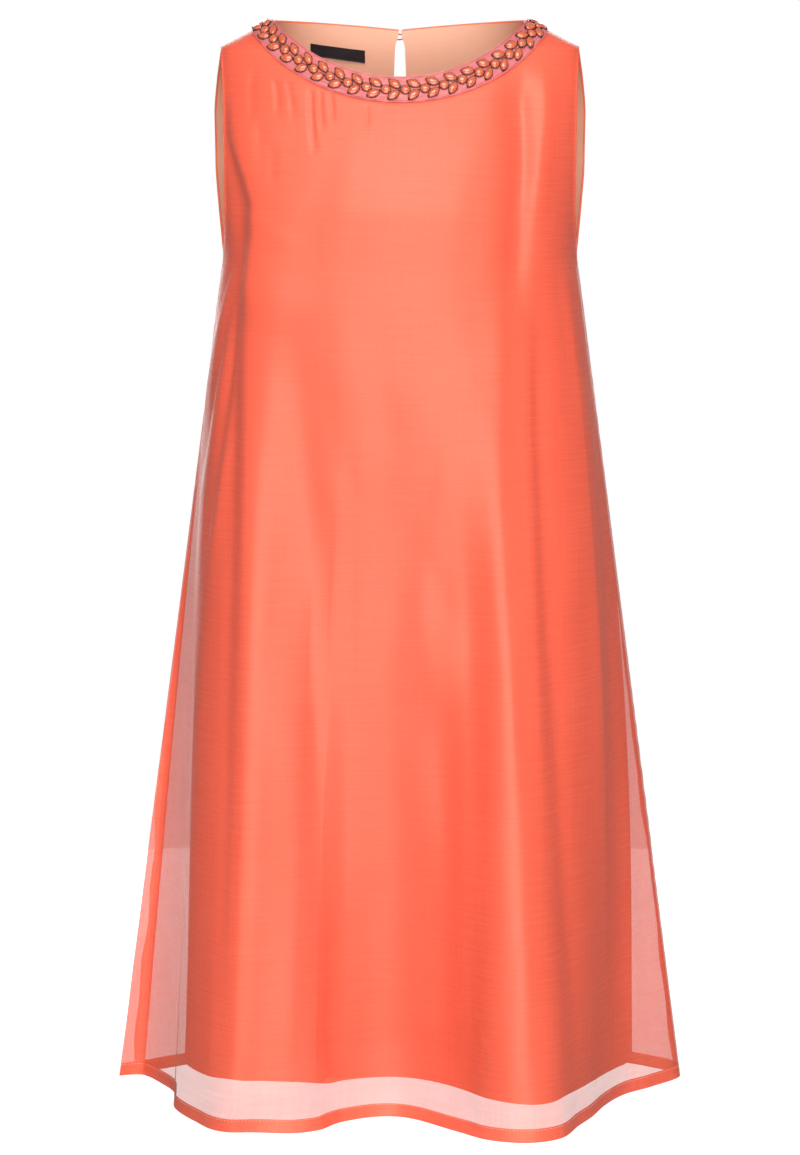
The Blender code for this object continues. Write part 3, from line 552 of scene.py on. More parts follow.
def mesh_object(name, points, faces, material, slot, uvs=None):
    """A mesh from points in millimetres, riding on the dress. uvs are metres along the cloth, by point."""
    data = bpy.data.meshes.new(name)
    data.from_pydata([tuple(p) for p in np.asarray(points, float) * MM], [], [list(map(int, f)) for f in faces])
    data.validate()
    data.shade_smooth()
    if uvs is not None:
        layer = data.uv_layers.new(name="cloth")
        corner = np.zeros(len(data.loops), int)
        data.loops.foreach_get("vertex_index", corner)
        layer.data.foreach_set("uv", np.asarray(uvs, float)[corner].ravel())
    data.materials.append(material)
    made = bpy.data.objects.new(name, data)
    bpy.context.scene.collection.objects.link(made)
    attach(made, BODY)
    return made


def grid_faces(rows, columns, first=0):
    faces = []
    for r in range(rows - 1):
        for c in range(columns - 1):
            a = first + r * columns + c
            faces.append((a, a + columns, a + columns + 1, a + 1))
    return faces


def cloth_uvs(panel):
    """Metres across from the middle and down, so that threads run straight on the cloth."""
    points = panel.points
    middle = int(np.argmin(np.abs(panel.shares)))
    steps = np.linalg.norm(np.diff(points, axis=1), axis=2)
    across = np.concatenate([np.zeros((len(points), 1)), np.cumsum(steps, axis=1)], axis=1)
    across -= across[:, middle : middle + 1]
    down = np.broadcast_to(-points[..., 2], across.shape)
    return np.stack([across, down], axis=-1) * MM


def slit_half(z):
    return np.where(z >= KEYHOLE[-1][0], smooth_lookup(z, KEYHOLE, 1), 0.0)


def panel_mesh(name, panel, material, slot, inward=0.0):
    """A panel as one sheet of cloth. The back has the keyhole: its middle column is doubled and drawn apart."""
    rows, columns = panel.points.shape[:2]
    points = (panel.points - panel.normals * inward).reshape(-1, 3)
    uvs = cloth_uvs(panel).reshape(-1, 2)
    faces = grid_faces(rows, columns)
    if panel.side == BACK:
        middle = int(np.argmin(np.abs(panel.shares)))
        open_rows = int(np.sum(panel.points[:, middle, 2] > KEYHOLE[-1][0]))
        slit = [row * columns + middle for row in range(open_rows)]
        doubles = {index: len(points) + row for row, index in enumerate(slit)}
        half = slit_half(points[slit][:, 2])
        shift = half[:, None] * np.array([[1.0, 0, 0]])
        points = np.vstack([points, points[slit] + shift])
        uvs = np.vstack([uvs, uvs[slit]])
        points[slit] -= shift
        ease_slit(points, slit, half)
        faces = [
            tuple(doubles.get(index, index) for index in face) if face[0] % columns == middle else face
            for face in faces
        ]
    return mesh_object(name, points, faces, material, slot, uvs)


def ease_slit(points, slit, half):
    """The columns beside the slit make way for it, so that no cloth is folded over."""
    for index, width in zip(slit, half):
        for away in range(1, SLIT_EASE):
            share = smooth_step(1 - away / SLIT_EASE)
            points[index + away, 0] += width * share
            points[index - away, 0] -= width * share


# ---------------------------------------------------------------- materials


def new_material(name):
    material = bpy.data.materials.new(name)
    material.use_nodes = True
    tree = material.node_tree
    return material, tree, tree.nodes["Principled BSDF"]


def add_node(tree, kind, **values):
    node = tree.nodes.new(kind)
    for key, value in values.items():
        setattr(node, key, value)
    return node


def set_inputs(node, **values):
    """Sets a node's inputs by name, with _ for each space."""
    for name, value in values.items():
        node.inputs[name.replace("_", " ")].default_value = value


def threads(tree, across, down, detail, seed):
    """Noise drawn out along the cloth's threads: across and down are its cells to the metre."""
    place = add_node(tree, "ShaderNodeUVMap", uv_map="cloth")
    stretch = add_node(tree, "ShaderNodeMapping")
    set_inputs(stretch, Location=(seed, seed * 1.7, 0), Scale=(across, down, 1))
    noise = add_node(tree, "ShaderNodeTexNoise", noise_dimensions="2D")
    set_inputs(noise, Scale=1.0, Detail=detail, Roughness=0.6)
    tree.links.new(place.outputs["UV"], stretch.inputs["Vector"])
    tree.links.new(stretch.outputs["Vector"], noise.inputs["Vector"])
    return noise.outputs["Fac"]


def math_node(tree, operation, first, second):
    node = add_node(tree, "ShaderNodeMath", operation=operation)
    for socket, value in zip(node.inputs, (first, second)):
        if isinstance(value, (int, float)):
            socket.default_value = value
        else:
            tree.links.new(value, socket)
    return node.outputs[0]


def ramp(tree, factor, stops):
    node = add_node(tree, "ShaderNodeValToRGB")
    while len(node.color_ramp.elements) < len(stops):
        node.color_ramp.elements.new(0.5)
    for element, (place, colour) in zip(node.color_ramp.elements, stops):
        element.position = place
        element.color = (*colour, 1)
    tree.links.new(factor, node.inputs["Fac"])
    return node.outputs["Color"]


def bump(tree, shader, height, strength, distance):
    node = add_node(tree, "ShaderNodeBump")
    set_inputs(node, Strength=strength, Distance=distance)
    tree.links.new(height, node.inputs["Height"])
    tree.links.new(node.outputs["Normal"], shader.inputs["Normal"])


def weave_height(tree, slub, fine):
    """The relief of a plain weave with slubs in its weft."""
    weft = math_node(tree, "MULTIPLY", threads(tree, 22, 620, 3.0, 3.1), slub)
    warp = math_node(tree, "MULTIPLY", threads(tree, 700, 14, 2.0, 8.3), fine)
    return math_node(tree, "ADD", weft, warp)


def voile_material(name, cover, stops, cover_swing):
    """Sheer satin voile: coral threads with slubs, and gaps between them that let the light through."""
    material, tree, shader = new_material(name)
    slubs = threads(tree, 18, 560, 3.0, 1.3)
    set_inputs(shader, Roughness=0.4, Specular_IOR_Level=0.85, Specular_Tint=(1.0, 0.6, 0.42, 1))
    set_inputs(shader, Sheen_Weight=0.1, Sheen_Roughness=0.35, Sheen_Tint=(1.0, 0.55, 0.4, 1))
    clouds = threads(tree, 9, 14, 2.0, 5.2)
    tone = math_node(tree, "ADD", math_node(tree, "MULTIPLY", slubs, 0.6), math_node(tree, "MULTIPLY", clouds, 0.4))
    tree.links.new(ramp(tree, tone, stops), shader.inputs["Base Color"])
    open_share = math_node(tree, "MULTIPLY", math_node(tree, "SUBTRACT", slubs, 0.5), cover_swing)
    upright = math_node(tree, "MULTIPLY", math_node(tree, "SUBTRACT", threads(tree, 480, 12, 2.0, 6.1), 0.5), 0.12)
    alpha = math_node(tree, "ADD", math_node(tree, "ADD", open_share, upright), cover)
    tree.links.new(alpha, shader.inputs["Alpha"])
    bump(tree, shader, weave_height(tree, 1.0, 0.6), 0.25, 0.0004)
    return material


def lining_material(name, low, high):
    material, tree, shader = new_material(name)
    fine = threads(tree, 60, 700, 3.0, 2.2)
    tree.links.new(ramp(tree, fine, ((0.3, low), (0.7, high))), shader.inputs["Base Color"])
    set_inputs(shader, Roughness=0.5, Sheen_Weight=0.15, Sheen_Roughness=0.4, Sheen_Tint=(1.0, 0.75, 0.65, 1))
    bump(tree, shader, weave_height(tree, 0.5, 0.5), 0.12, 0.0002)
    return material


def object_noise(tree, scale, detail):
    place = add_node(tree, "ShaderNodeTexCoord")
    noise = add_node(tree, "ShaderNodeTexNoise")
    set_inputs(noise, Scale=scale, Detail=detail)
    tree.links.new(place.outputs["Object"], noise.inputs["Vector"])
    return noise.outputs["Fac"]


def simple_material(name, low, high, scale, roughness, metallic=0.0, relief=0.0, **sockets):
    """A colour that varies between two tones, with fine relief."""
    material, tree, shader = new_material(name)
    noise = object_noise(tree, scale, 3.0)
    tree.links.new(ramp(tree, noise, ((0.35, low), (0.65, high))), shader.inputs["Base Color"])
    set_inputs(shader, Roughness=roughness, Metallic=metallic, **sockets)
    if relief:
        bump(tree, shader, noise, 0.4, relief)
    return material


# ---------------------------------------------------------------- hems, edges and seams

HEM_TURN = 11.0
HEM_GAP = 0.9  # between the cloth and its turned-up hem
EDGE_RADIUS = 0.9  # of the rolled edges at the neck and armholes
ARMHOLE_ROWS_SPARED = 12  # the rows over the bust that lie under the armhole
ALLOWANCE = 9.0  # the width of the side seams' allowances inside the dress
ALLOWANCE_DEPTH = 0.9


def hem_band(name, panel, material):
    """The turned-up hem inside the outer dress, with the fold at its foot."""
    lengths = HEM_TURN * np.linspace(1, 0, 9)
    down = unit(panel.points[-1] - panel.points[-4])
    foot, normal = panel.points[-1], panel.normals[-1]
    along = lengths_along(foot)
    strength = 0.4 + 0.6 * np.sin(along / 47.0) ** 2
    rows = []
    for k, up in enumerate(lengths):
        pucker = 0.35 * np.sin((along + up * 0.9) / 1.7 + 1.3 * np.sin(along / 31.0)) * strength
        rows.append(foot - down * up - normal * (HEM_GAP + pucker * math.sin(math.pi * k / 8))[:, None])
    for turn in np.linspace(0, math.pi, 6)[1:]:
        middle = foot - normal * HEM_GAP / 2
        rows.append(middle + (down * math.sin(turn) - normal * math.cos(turn)) * HEM_GAP / 2)
    rows = np.array(rows)
    rows[-1] += panel.normals[-1] * 0.05
    count, columns = rows.shape[:2]
    across = np.broadcast_to(along, (count, columns))
    way = np.broadcast_to(np.linspace(0, HEM_TURN, count)[:, None], (count, columns))
    uvs = np.stack([across, way], axis=-1).reshape(-1, 2) * MM
    return mesh_object(name, rows.reshape(-1, 3), grid_faces(count, columns), material, "voile", uvs)


def edge_roll(name, edges, material, slot):
    """Rolled edges where the outer dress is turned and joined to the lining. Each edge: points, outward, normals."""
    points, faces, uvs = [], [], []
    turns = np.linspace(0, math.pi, 7)
    for edge, outward, normals in edges:
        first = len(points)
        along = lengths_along(edge)
        for k in range(len(edge)):
            middle = edge[k] - normals[k] * LINING_DEPTH / 2
            for turn in turns:
                lift = normals[k] * math.cos(turn) * LINING_DEPTH / 2 + outward[k] * math.sin(turn) * EDGE_RADIUS
                points.append(middle + lift)
                uvs.append((along[k] * MM, turn * MM))
        faces += grid_faces(len(edge), len(turns), first=first)
    return mesh_object(name, points, faces, material, slot, uvs)


def panel_edges(panel):
    """The panel's neckline and armhole edges, as edge_roll takes them."""
    made = []
    neck = np.flatnonzero(np.abs(panel.shares) <= NECK_SHARE + 1e-6)
    armhole = panel.over_bust - ARMHOLE_ROWS_SPARED
    inward = unit(panel.points[3] - panel.points[0])
    runs = [neck]
    if panel.side == BACK:
        middle = int(np.argmin(np.abs(panel.shares)))
        runs = [neck[neck < middle], neck[neck > middle]]
    for run in runs:
        made.append((panel.points[0, run], -inward[run], panel.normals[0, run]))
    rows = slice(0, armhole)
    for end, near in ((0, 3), (-1, -4)):
        outward = unit(panel.points[rows, end] - panel.points[rows, near])
        made.append((panel.points[rows, end], outward, panel.normals[rows, end]))
    return made


def seam_allowance(name, back, end, material):
    """A side seam's allowances, pressed towards the back inside the outer dress. Their width wavers."""
    start = back.over_bust
    rows, uvs = [], []
    shares = np.linspace(0, 1, 7)
    for row in range(start, len(back.points)):
        line = back.points[row] if end == 0 else back.points[row][::-1]
        normals = back.normals[row] if end == 0 else back.normals[row][::-1]
        length = lengths_along(line)
        z = line[0, 2]
        width = ALLOWANCE + 1.4 * math.sin(z / 37.0) + 0.8 * math.sin(z / 11.0 + 1.0)
        width *= min(1.0, 0.45 + (BUST_Z - z) / 260.0)
        at = width * shares + 0.3
        place = read_line(at, length, line)
        normal = unit(read_line(at, length, normals))
        lift = ALLOWANCE_DEPTH + 0.8 * shares * (0.6 + 0.4 * math.sin(z / 19.0))
        rows.append(place - normal * lift[:, None])
        uvs.append(np.stack([at, np.full(7, -z)], axis=-1))
    rows, uvs = np.array(rows), np.array(uvs)
    return mesh_object(
        name, rows.reshape(-1, 3), grid_faces(*rows.shape[:2]), material, "voile", uvs.reshape(-1, 2) * MM
    )


def tube_along(points, radius, sides):
    """Points and faces of a thin closed tube through a line of points."""
    tangent = unit(np.gradient(points, axis=0))
    helper = np.array([0.0, 0.0, 1.0]) if abs(tangent[0][2]) < 0.8 else np.array([1.0, 0.0, 0.0])
    made, faces = [], []
    for k, place in enumerate(points):
        a = unit(np.cross(tangent[k], helper))
        b = np.cross(tangent[k], a)
        scale = 0.55 if k in (0, len(points) - 1) else 1.0
        for s in range(sides):
            turn = 2 * math.pi * s / sides
            made.append(place + (a * math.cos(turn) + b * math.sin(turn)) * radius * scale)
    for k in range(len(points) - 1):
        for s in range(sides):
            t = (s + 1) % sides
            faces.append((k * sides + s, k * sides + t, (k + 1) * sides + t, (k + 1) * sides + s))
    faces.append(tuple(range(sides))[::-1])
    faces.append(tuple((len(points) - 1) * sides + s for s in range(sides)))
    return made, faces


def join_parts(parts):
    """Several lists of points and faces as one."""
    points, faces = [], []
    for some_points, some_faces in parts:
        first = len(points)
        points += list(some_points)
        faces += [tuple(first + index for index in face) for face in some_faces]
    return points, faces


STITCH_LONG = 1.9
STITCH_PITCH = 3.0
STITCH_THICK = 0.17


def stitches(name, lines, material, slot, pitch=STITCH_PITCH, long=STITCH_LONG, thick=STITCH_THICK):
    """Running stitches along lines of points that lie on the cloth."""
    parts = []
    for line in lines:
        length = lengths_along(line)
        for start in np.arange(pitch / 2, length[-1] - long, pitch):
            at = start + long * np.array([0.0, 0.25, 0.75, 1.0])
            parts.append(tube_along(read_line(at, length, line), thick, 4))
    points, faces = join_parts(parts)
    return mesh_object(name, points, faces, material, slot)


def hem_stitch_line(panel):
    """A line on the outside of the cloth, along the top of the hem."""
    down = unit(panel.points[-1] - panel.points[-4])
    return panel.points[-1] - down * (HEM_TURN - 1.2) + panel.normals[-1] * 0.12


# ---------------------------------------------------------------- neck tape

TAPE_WIDTH = 25.0
TAPE_END_WIDTH = 20.0
TAPE_LIFT = 0.9
STONE_ROW = 13.3
REPEATS = 20
STONES = (
    # kind, place along the repeat, place above the row, length, width, turn in degrees
    ("round", 0.0, 0.0, 8.9, 8.9, 0.0),
    ("upper_leaf", 0.44, 5.7, 12.6, 7.9, -32.0),
    ("lower_leaf", 0.40, -5.0, 12.6, 7.9, 40.0),
)
TURN_WOBBLE = 7.0
FIRST_STONE = 0.28
STONE_SIDES = 24


class NeckTape:
    """The band that lies on the front panel under the neckline, with places by length and width in millimetres."""

    SAMPLES = 241
    DEPTH_SAMPLES = 61
    REACH = 30.0

    def __init__(self):
        shares = np.linspace(-NECK_SHARE, NECK_SHARE, self.SAMPLES)
        top = form_point(FRONT, *top_edge(FRONT, shares))
        tangent = unit(np.gradient(top[:, [0, 2]], axis=0))
        down = np.stack([tangent[:, 1], -tangent[:, 0]], axis=1)
        down = self.turned_to_shoulders(down, top)
        self.lines = []
        for k in range(self.SAMPLES):
            way = np.linspace(0, self.REACH, self.DEPTH_SAMPLES)
            line = form_point(FRONT, top[k, 0] + down[k, 0] * way, top[k, 2] + down[k, 1] * way)
            self.lines.append((lengths_along(line), line))
        self.places = lengths_along(np.array([self.on_line(k, STONE_ROW) for k in range(self.SAMPLES)]))
        self.length = self.places[-1]

    def turned_to_shoulders(self, down, top):
        """Near its ends the tape's width turns, to lie along the shoulder seam at the very end."""
        run = NECK_HALF - np.abs(top[:, 0])
        blend = np.clip(1 - run / (TAPE_WIDTH * 1.2), 0, 1)[:, None] ** 2
        seam = unit(np.array([TIP_HALF - NECK_HALF, TIP_Z - NECK_Z]))
        end = np.stack([np.sign(top[:, 0]) * seam[0], np.full(len(top), seam[1])], axis=1)
        return unit((1 - blend) * down + blend * end)

    def on_line(self, k, depth):
        length, line = self.lines[k]
        return read_line(depth, length, line)

    def point(self, place, depth):
        """The panel's point at a place along the tape and a depth under its upper edge, had it not been eased."""
        depth *= 1 - (1 - TAPE_END_WIDTH / TAPE_WIDTH) * abs(2 * place / self.length - 1) ** 3
        k = np.interp(place, self.places, np.arange(self.SAMPLES))
        low = int(min(k, self.SAMPLES - 2))
        share = k - low
        return (1 - share) * self.on_line(low, depth) + share * self.on_line(low + 1, depth)

    def frame_at(self, place, depth):
        """The panel's point there, and the unit directions along the tape, down and out of the cloth."""
        step = 0.6
        at = min(max(place, step), self.length - step)
        along = unit(self.point(at + step, depth) - self.point(at - step, depth))
        down = unit(self.point(at, depth + step) - self.point(at, depth))
        normal = unit(np.cross(down, along))
        if normal[1] > 0:
            normal = -normal
        return self.point(place, depth), along, down, normal

    def lifted(self, place, depth, lift):
        here, _, _, normal = self.frame_at(place, depth)
        return here + normal * lift


def tape_mesh(tape, material):
    """The mesh band itself, slightly drawn together where the stones are sewn on."""
    columns, across = 330, 17
    points, uvs = [], []
    for r in range(across):
        depth = TAPE_WIDTH * r / (across - 1)
        for c in range(columns + 1):
            place = tape.length * c / columns
            ruck = 0.12 * math.sin(place / 2.3 + depth) + 0.1 * math.sin(place / 5.1 - depth * 0.7)
            edge = 0.35 * math.exp(-((min(depth, TAPE_WIDTH - depth) / 1.6) ** 2))
            points.append(tape.lifted(place, depth, TAPE_LIFT + ruck + edge * 0.4))
            uvs.append((place * MM, depth * MM))
    faces = grid_faces(across, columns + 1)
    return mesh_object("neck_tape", points, faces, material, "trim", uvs)


def outline_point(kind, length, width, turn):
    """A stone's outline about its middle: round, or a leaf with a point at each end."""
    x = math.cos(turn)
    y = math.sin(turn)
    if kind != "round":
        y *= 1 - 0.2 * x * x
        y = math.copysign(abs(y) ** 1.1, y)
    return x * length / 2, y * width / 2


def stone_places(tape):
    pitch = tape.length / REPEATS
    for repeat in range(REPEATS):
        for order, (kind, along, above, length, width, turn) in enumerate(STONES):
            place = (repeat + FIRST_STONE + along) * pitch
            wobble = TURN_WOBBLE * math.sin(2.4 * repeat + 1.9 * order)
            yield kind, length, width, place, STONE_ROW - above, turn + wobble


STONE_PROFILE = (
    # share of the outline, height over the tape: a bevelled cabochon
    (0.92, 0.5),
    (0.92, 1.1),
    (0.86, 1.62),
    (0.70, 2.2),
    (0.48, 2.62),
    (0.24, 2.84),
)
SETTING_PROFILE = (
    (0.80, 0.0),
    (1.0, 0.1),
    (1.04, 0.6),
    (1.0, 1.1),
    (0.96, 1.24),
    (0.93, 1.12),
    (0.91, 0.5),
)
CLAWS = {"round": (45, 135, 225, 315), "leaf": (8, 172, 188, 352, 90, 270)}


def stone_and_setting(tape, kind, length, width, place, depth, turn):
    """One stone and its metal setting: two lists of points and faces."""
    here, along, down, normal = tape.frame_at(place, depth)
    cos, sin = math.cos(math.radians(turn)), math.sin(math.radians(turn))
    right = along * cos - down * sin
    up = -along * sin - down * cos
    base = here + normal * TAPE_LIFT

    def at(share, angle, height):
        x, y = outline_point(kind, length, width, angle)
        return base + right * x * share + up * y * share + normal * height

    angles = [2 * math.pi * k / STONE_SIDES for k in range(STONE_SIDES)]

    def lathe(profile, cap):
        points = [at(share, angle, height) for share, height in profile for angle in angles]
        faces = []
        for level in range(len(profile) - 1):
            for k in range(STONE_SIDES):
                n = (k + 1) % STONE_SIDES
                a, b = level * STONE_SIDES, (level + 1) * STONE_SIDES
                faces.append((a + k, a + n, b + n, b + k))
        if cap:
            points.append(base + normal * (profile[-1][1] + 0.06))
            last = (len(profile) - 1) * STONE_SIDES
            faces += [(last + k, last + (k + 1) % STONE_SIDES, len(points) - 1) for k in range(STONE_SIDES)]
        return points, faces

    claws = []
    for angle in CLAWS["round" if kind == "round" else "leaf"]:
        turn_at = math.radians(angle)
        line = [at(1.02, turn_at, 0.3), at(1.03, turn_at, 1.1), at(0.95, turn_at, 1.62), at(0.83, turn_at, 1.8)]
        claws.append(tube_along(np.array(line), 0.42, 6))
    return lathe(STONE_PROFILE, True), join_parts([lathe(SETTING_PROFILE, False)] + claws)


def tape_threads(tape):
    """Lines of stitching along the tape's two edges."""
    lines = []
    for depth in (1.1, TAPE_WIDTH - 1.2):
        places = np.arange(0, tape.length, 1.5)
        lines.append(np.array([tape.lifted(place, depth, TAPE_LIFT + 0.28) for place in places]))
    return lines


# ---------------------------------------------------------------- label, button and loop

LABEL_SIZE = (48.0, 11.0)
LABEL_MIDDLE = (-55.0, -15.3)
LABEL_SLOPE = -0.13
LABEL_DEPTH = 2.75
LABEL_WALL = 0.35
BUTTON_MIDDLE = (-7.6, -2.4)
BUTTON_WIDE = 8.4
SHANK_LONG = 2.0


def back_point(x, z, depth):
    """A point on the back's form, moved towards the inside of the dress by a depth."""
    here = form_point(BACK, x, z)
    across = form_point(BACK, x + 0.5, z) - here
    down = form_point(BACK, x, z - 0.5) - here
    normal = unit(np.cross(across, down))
    if normal[1] < 0:
        normal = -normal
    return here - normal * depth


def label_mesh(material):
    """A plain woven label, sewn on at both ends, a little slack between them."""
    columns, rows = 48, 12
    layers = []
    for depth in (LABEL_DEPTH, LABEL_DEPTH + LABEL_WALL):
        layer = []
        for r in range(rows + 1):
            for c in range(columns + 1):
                x = LABEL_MIDDLE[0] + LABEL_SIZE[0] * (c / columns - 0.5)
                z = LABEL_MIDDLE[1] + LABEL_SIZE[1] * (0.5 - r / rows) + (x - LABEL_MIDDLE[0]) * LABEL_SLOPE
                z += 0.35 * math.sin(math.pi * c / columns) * (1 if r > rows / 2 else -0.3)
                sag = 0.75 * math.sin(math.pi * c / columns) * (0.7 + 0.3 * math.sin(c / 5.0 + r / 6.0))
                layer.append(back_point(x, z, depth + sag))
        layers.append(layer)
    faces = grid_faces(rows + 1, columns + 1)
    count = len(layers[0])
    faces += [tuple(index + count for index in reversed(face)) for face in faces]
    rim = list(range(columns + 1))
    rim += [r * (columns + 1) + columns for r in range(1, rows + 1)]
    rim += [rows * (columns + 1) + c for c in range(columns - 1, -1, -1)]
    rim += [r * (columns + 1) for r in range(rows - 1, 0, -1)]
    for a, b in zip(rim, rim[1:] + rim[:1]):
        faces.append((b, a, a + count, b + count))
    uvs = [(c * MM, r * MM) for _ in layers for r in range(rows + 1) for c in range(columns + 1)]
    return mesh_object("label", layers[0] + layers[1], faces, material, "label", uvs)


def label_stitches(material):
    lines = []
    for end in (-1, 1):
        x = LABEL_MIDDLE[0] + end * (LABEL_SIZE[0] / 2 - 1.0)
        middle = LABEL_MIDDLE[1] + (x - LABEL_MIDDLE[0]) * LABEL_SLOPE
        heights = middle + np.linspace(LABEL_SIZE[1] / 2 - 0.4, -LABEL_SIZE[1] / 2 + 0.4, 12)
        lines.append(np.array([back_point(x, z, LABEL_DEPTH + LABEL_WALL + 0.12) for z in heights]))
    return stitches("label_stitches", lines, material, "label", 1.6, 1.1, 0.12)


def button_mesh(material):
    """A small button with a raised rim and a domed middle, on its shank."""
    seat = Vector(back_point(*BUTTON_MIDDLE, -0.3))
    out = (Vector(back_point(*BUTTON_MIDDLE, -1.3)) - seat).normalized()
    half = BUTTON_WIDE / 2
    profile = (
        (0.0, 0.0),
        (1.3, 0.0),
        (1.1, 0.7),
        (1.2, SHANK_LONG - 0.1),
        (half - 0.7, SHANK_LONG),
        (half - 0.15, SHANK_LONG + 0.35),
        (half, SHANK_LONG + 0.8),
        (half - 0.1, SHANK_LONG + 1.3),
        (half - 0.5, SHANK_LONG + 1.65),
        (half - 1.1, SHANK_LONG + 1.6),
        (half - 1.6, SHANK_LONG + 1.3),
        (half - 2.4, SHANK_LONG + 1.35),
        (half - 3.4, SHANK_LONG + 1.6),
        (0.0, SHANK_LONG + 1.7),
    )
    sides = 40
    turn = out.to_track_quat("Z", "Y").to_matrix()
    points = [
        np.array(seat + turn @ Vector((r * math.cos(t), r * math.sin(t), h)))
        for r, h in profile
        for t in (2 * math.pi * k / sides for k in range(sides))
    ]
    faces = []
    for level in range(len(profile) - 1):
        for k in range(sides):
            n = (k + 1) % sides
            a, b = level * sides, (level + 1) * sides
            faces.append((a + k, a + n, b + n, b + k))
    made = mesh_object("button", points, faces, material, "button")
    mesh = bmesh.new()
    mesh.from_mesh(made.data)
    bmesh.ops.remove_doubles(mesh, verts=mesh.verts, dist=0.00002)
    bmesh.ops.recalc_face_normals(mesh, faces=mesh.faces)
    mesh.to_mesh(made.data)
    mesh.free()
    made.data.shade_smooth()
    return made


def loop_mesh(material):
    """The thread loop: two strands twisted round each other, from the slit's right edge round the shank."""
    reach = 2.3
    x, z = BUTTON_MIDDLE
    start_x = KEYHOLE[1][1] + 3.0
    route = [(start_x, z + 1.2), (start_x - 5.0, z + reach)]
    for turn in np.linspace(0.5 * math.pi, 1.5 * math.pi, 13):
        route.append((x + reach * math.cos(turn), z + reach * math.sin(turn)))
    route += [(start_x - 5.0, z - reach), (start_x, z - 1.2)]
    route = np.array(route)
    length = lengths_along(route)
    at = np.arange(0, length[-1], 0.25)
    flat = read_line(at, length, route)
    parts = []
    for strand in (0, 1):
        line = []
        for k, (px, pz) in enumerate(flat):
            phase = at[k] * 2 * math.pi / 2.2 + math.pi * strand
            line.append(back_point(px, pz + 0.24 * math.sin(phase), -1.0 - 0.24 * math.cos(phase)))
        parts.append(tube_along(np.array(line), 0.4, 8))
    points, faces = join_parts(parts)
    return mesh_object("loop", points, faces, material, "thread")


# ---------------------------------------------------------------- studio


SENSOR = 36.0
LENS = 101.08
CAMERA_PLACE = (0.0, -2.847, -0.1163)
CAMERA_TILT = 7.2  # degrees down from level


def add_camera():
    data = bpy.data.cameras.new("camera")
    data.sensor_width = SENSOR
    data.lens = LENS
    data.clip_start, data.clip_end = 0.05, 60.0
    camera = bpy.data.objects.new("camera", data)
    camera.location = CAMERA_PLACE
    camera.rotation_euler = (math.radians(90.0 - CAMERA_TILT), 0.0, 0.0)
    bpy.context.scene.collection.objects.link(camera)
    bpy.context.scene.camera = camera


def area_light(name, place, target, width, height, power):
    data = bpy.data.lights.new(name, "AREA")
    data.shape = "RECTANGLE"
    data.size, data.size_y = width, height
    data.energy = power
    light = bpy.data.objects.new(name, data)
    light.location = place
    light.rotation_euler = (Vector(target) - Vector(place)).to_track_quat("-Z", "Y").to_euler()
    bpy.context.scene.collection.objects.link(light)


def add_studio():
    middle = (0.0, 0.0, -0.45)
    area_light("key", (0.1, -3.1, -0.4), middle, 3.0, 2.7, 104.0)
    area_light("top", (0.1, -2.3, 2.5), (0.0, 0.0, -0.1), 2.4, 1.5, 78.0)
    area_light("behind", (-0.2, 3.1, 0.2), middle, 2.4, 2.5, 80.0)
    world = bpy.data.worlds.new("studio")
    bpy.context.scene.world = world
    world.use_nodes = True
    tree = world.node_tree
    soft = tree.nodes["Background"]
    set_inputs(soft, Color=(1, 1, 1, 1), Strength=0.26)
    seen = tree.nodes.new("ShaderNodeBackground")
    set_inputs(seen, Color=(1, 1, 1, 1), Strength=1.0)
    path = tree.nodes.new("ShaderNodeLightPath")
    mix = tree.nodes.new("ShaderNodeMixShader")
    tree.links.new(path.outputs["Is Camera Ray"], mix.inputs["Fac"])
    tree.links.new(soft.outputs["Background"], mix.inputs[1])
    tree.links.new(seen.outputs["Background"], mix.inputs[2])
    tree.links.new(mix.outputs["Shader"], tree.nodes["World Output"].inputs["Surface"])
    bpy.ops.mesh.primitive_circle_add(vertices=96, radius=3.0, fill_type="NGON", location=(0, 0, -1.35))
    floor = bpy.context.object
    floor.name = "floor"
    material, _, shader = new_material("floor_paper")
    set_inputs(shader, Base_Color=(0.35, 0.35, 0.35, 1), Roughness=0.9)
    set_inputs(shader, Emission_Color=(1, 1, 1, 1), Emission_Strength=0.76)
    floor.data.materials.append(material)
    floor.visible_diffuse = False
    floor.visible_glossy = False
    view = bpy.context.scene.view_settings
    view.view_transform = "Standard"
    view.look = "None"


# ---------------------------------------------------------------- the dress

VOILE_TONES = ((0.3, (0.8, 0.122, 0.068)), (0.7, (0.85, 0.145, 0.084)))


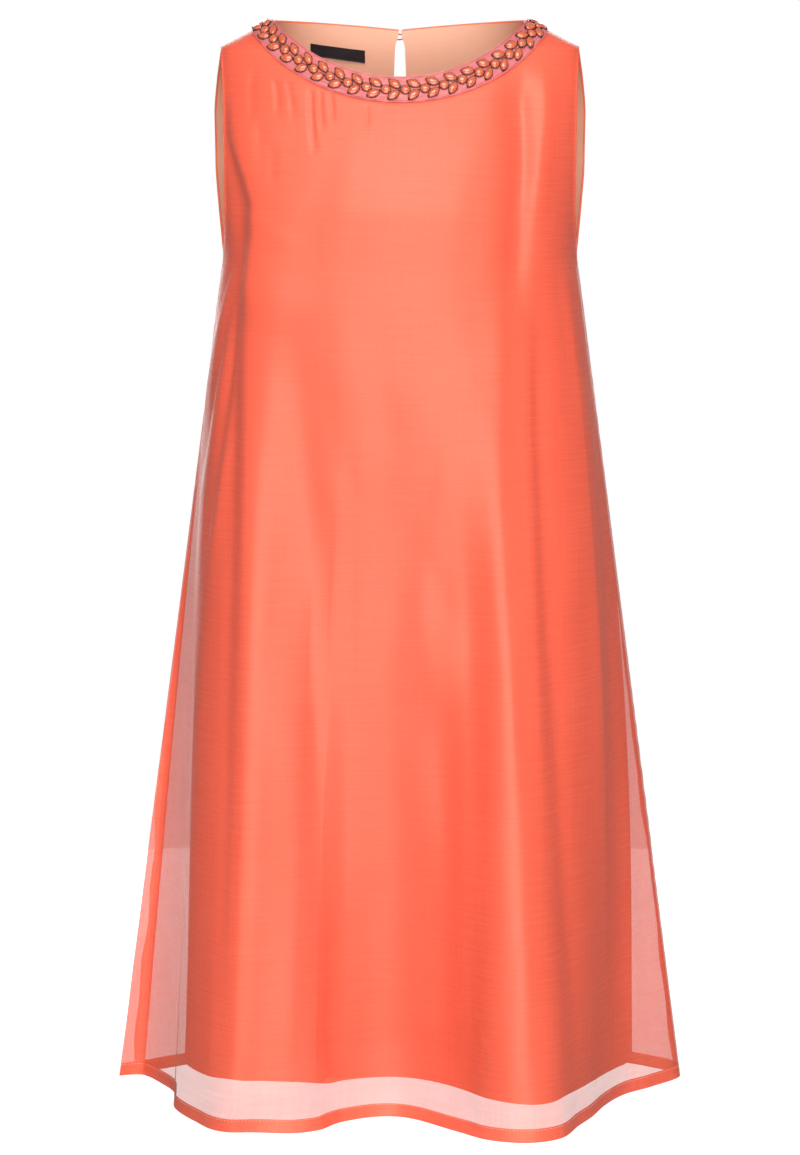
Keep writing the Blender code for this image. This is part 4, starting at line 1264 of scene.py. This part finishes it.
def build():
    voile = voile_material("voile_satin", 0.59, VOILE_TONES, 0.16)
    doubled = voile_material("voile_turned", 0.97, ((0.3, (0.85, 0.13, 0.06)), (0.7, (0.9, 0.18, 0.09))), 0.08)
    seam = voile_material("voile_seam", 0.93, ((0.3, (0.85, 0.1, 0.04)), (0.7, (0.9, 0.13, 0.055))), 0.1)
    # The lining's outer face is painted a deep red shade, standing in for light filtered through the coral voile on
    # its way in and out. The inside has the lining's own peach.
    lining = lining_material("lining_painted_voile_shade", (0.8, 0.12, 0.06), (0.85, 0.138, 0.07))
    lining_inside = lining_material("lining_inside_satin", (0.97, 0.52, 0.35), (0.99, 0.54, 0.37))
    tape_cloth = voile_material("mesh_tape", 0.9, ((0.3, (0.58, 0.11, 0.13)), (0.7, (0.72, 0.21, 0.22))), 0.2)
    coral = simple_material(
        "coral_stone", (0.56, 0.1, 0.04), (0.68, 0.155, 0.065), 420, 0.08, Coat_Weight=0.8, Coat_Roughness=0.04
    )
    metal = simple_material("dark_metal", (0.06, 0.03, 0.035), (0.2, 0.11, 0.11), 900, 0.3, 0.9, 0.0001)
    pale_thread = simple_material("pale_thread", (0.95, 0.55, 0.46), (1.0, 0.7, 0.6), 3000, 0.6)
    red_thread = simple_material("red_thread", (0.35, 0.02, 0.03), (0.55, 0.05, 0.05), 3000, 0.6)
    black = simple_material("black_satin", (0.008, 0.008, 0.01), (0.02, 0.02, 0.024), 1500, 0.45, 0.0, 0.0001)
    pearl = simple_material("clear_pearl", (0.8, 0.74, 0.72), (0.92, 0.88, 0.86), 160, 0.12, Coat_Weight=0.7)

    panels = {(layer, side): Panel(layer, side) for layer in ("outer", "lining") for side in (FRONT, BACK)}
    words = {FRONT: "front", BACK: "back"}
    cloths = {"outer": (voile, "voile"), "lining": (lining, "lining")}
    for (layer, side), panel in panels.items():
        name = f"{layer}_{words[side]}_cloth"
        cloth = panel_mesh(name, panel, *cloths[layer])
        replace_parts(cloth, f"{layer}_{words[side]}")
        cloth.visible_shadow = layer == "lining"  # sheer cloth lets most of the light on to what is behind it
    extras = {side: [] for side in (FRONT, BACK)}
    for side in (FRONT, BACK):
        panel = panels["outer", side]
        panel_mesh(
            f"lining_{words[side]}_inside", panels["lining", side], lining_inside, "lining", LINING_WALL
        )
        extras[side].append(hem_band(f"hem_{words[side]}", panel, doubled))
        extras[side].append(edge_roll(f"edges_{words[side]}", panel_edges(panel), doubled, "voile"))
        extras[side].append(
            stitches(f"hem_stitches_{words[side]}", [hem_stitch_line(panel)], pale_thread, "voile")
        )
    extras[BACK].append(seam_allowance("allowance_left", panels["outer", BACK], 0, seam))
    extras[BACK].append(seam_allowance("allowance_right", panels["outer", BACK], -1, seam))

    tape = NeckTape()
    band = tape_mesh(tape, tape_cloth)
    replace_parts(band, "neck_trim")
    stones, settings = [], []
    for places in stone_places(tape):
        stone, setting = stone_and_setting(tape, *places)
        stones.append(stone)
        settings.append(setting)
    stone_piece = mesh_object("stones", *join_parts(stones), coral, "trim")
    setting_piece = mesh_object("stone_settings", *join_parts(settings), metal, "trim")
    thread_piece = stitches("tape_stitches", tape_threads(tape), red_thread, "thread", 2.4, 1.7, 0.16)

    label = label_mesh(black)
    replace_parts(label, "label")
    label_thread = label_stitches(black)
    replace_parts(button_mesh(pearl), "button")
    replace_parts(loop_mesh(red_thread), "loop")


build()
add_camera()
add_studio()
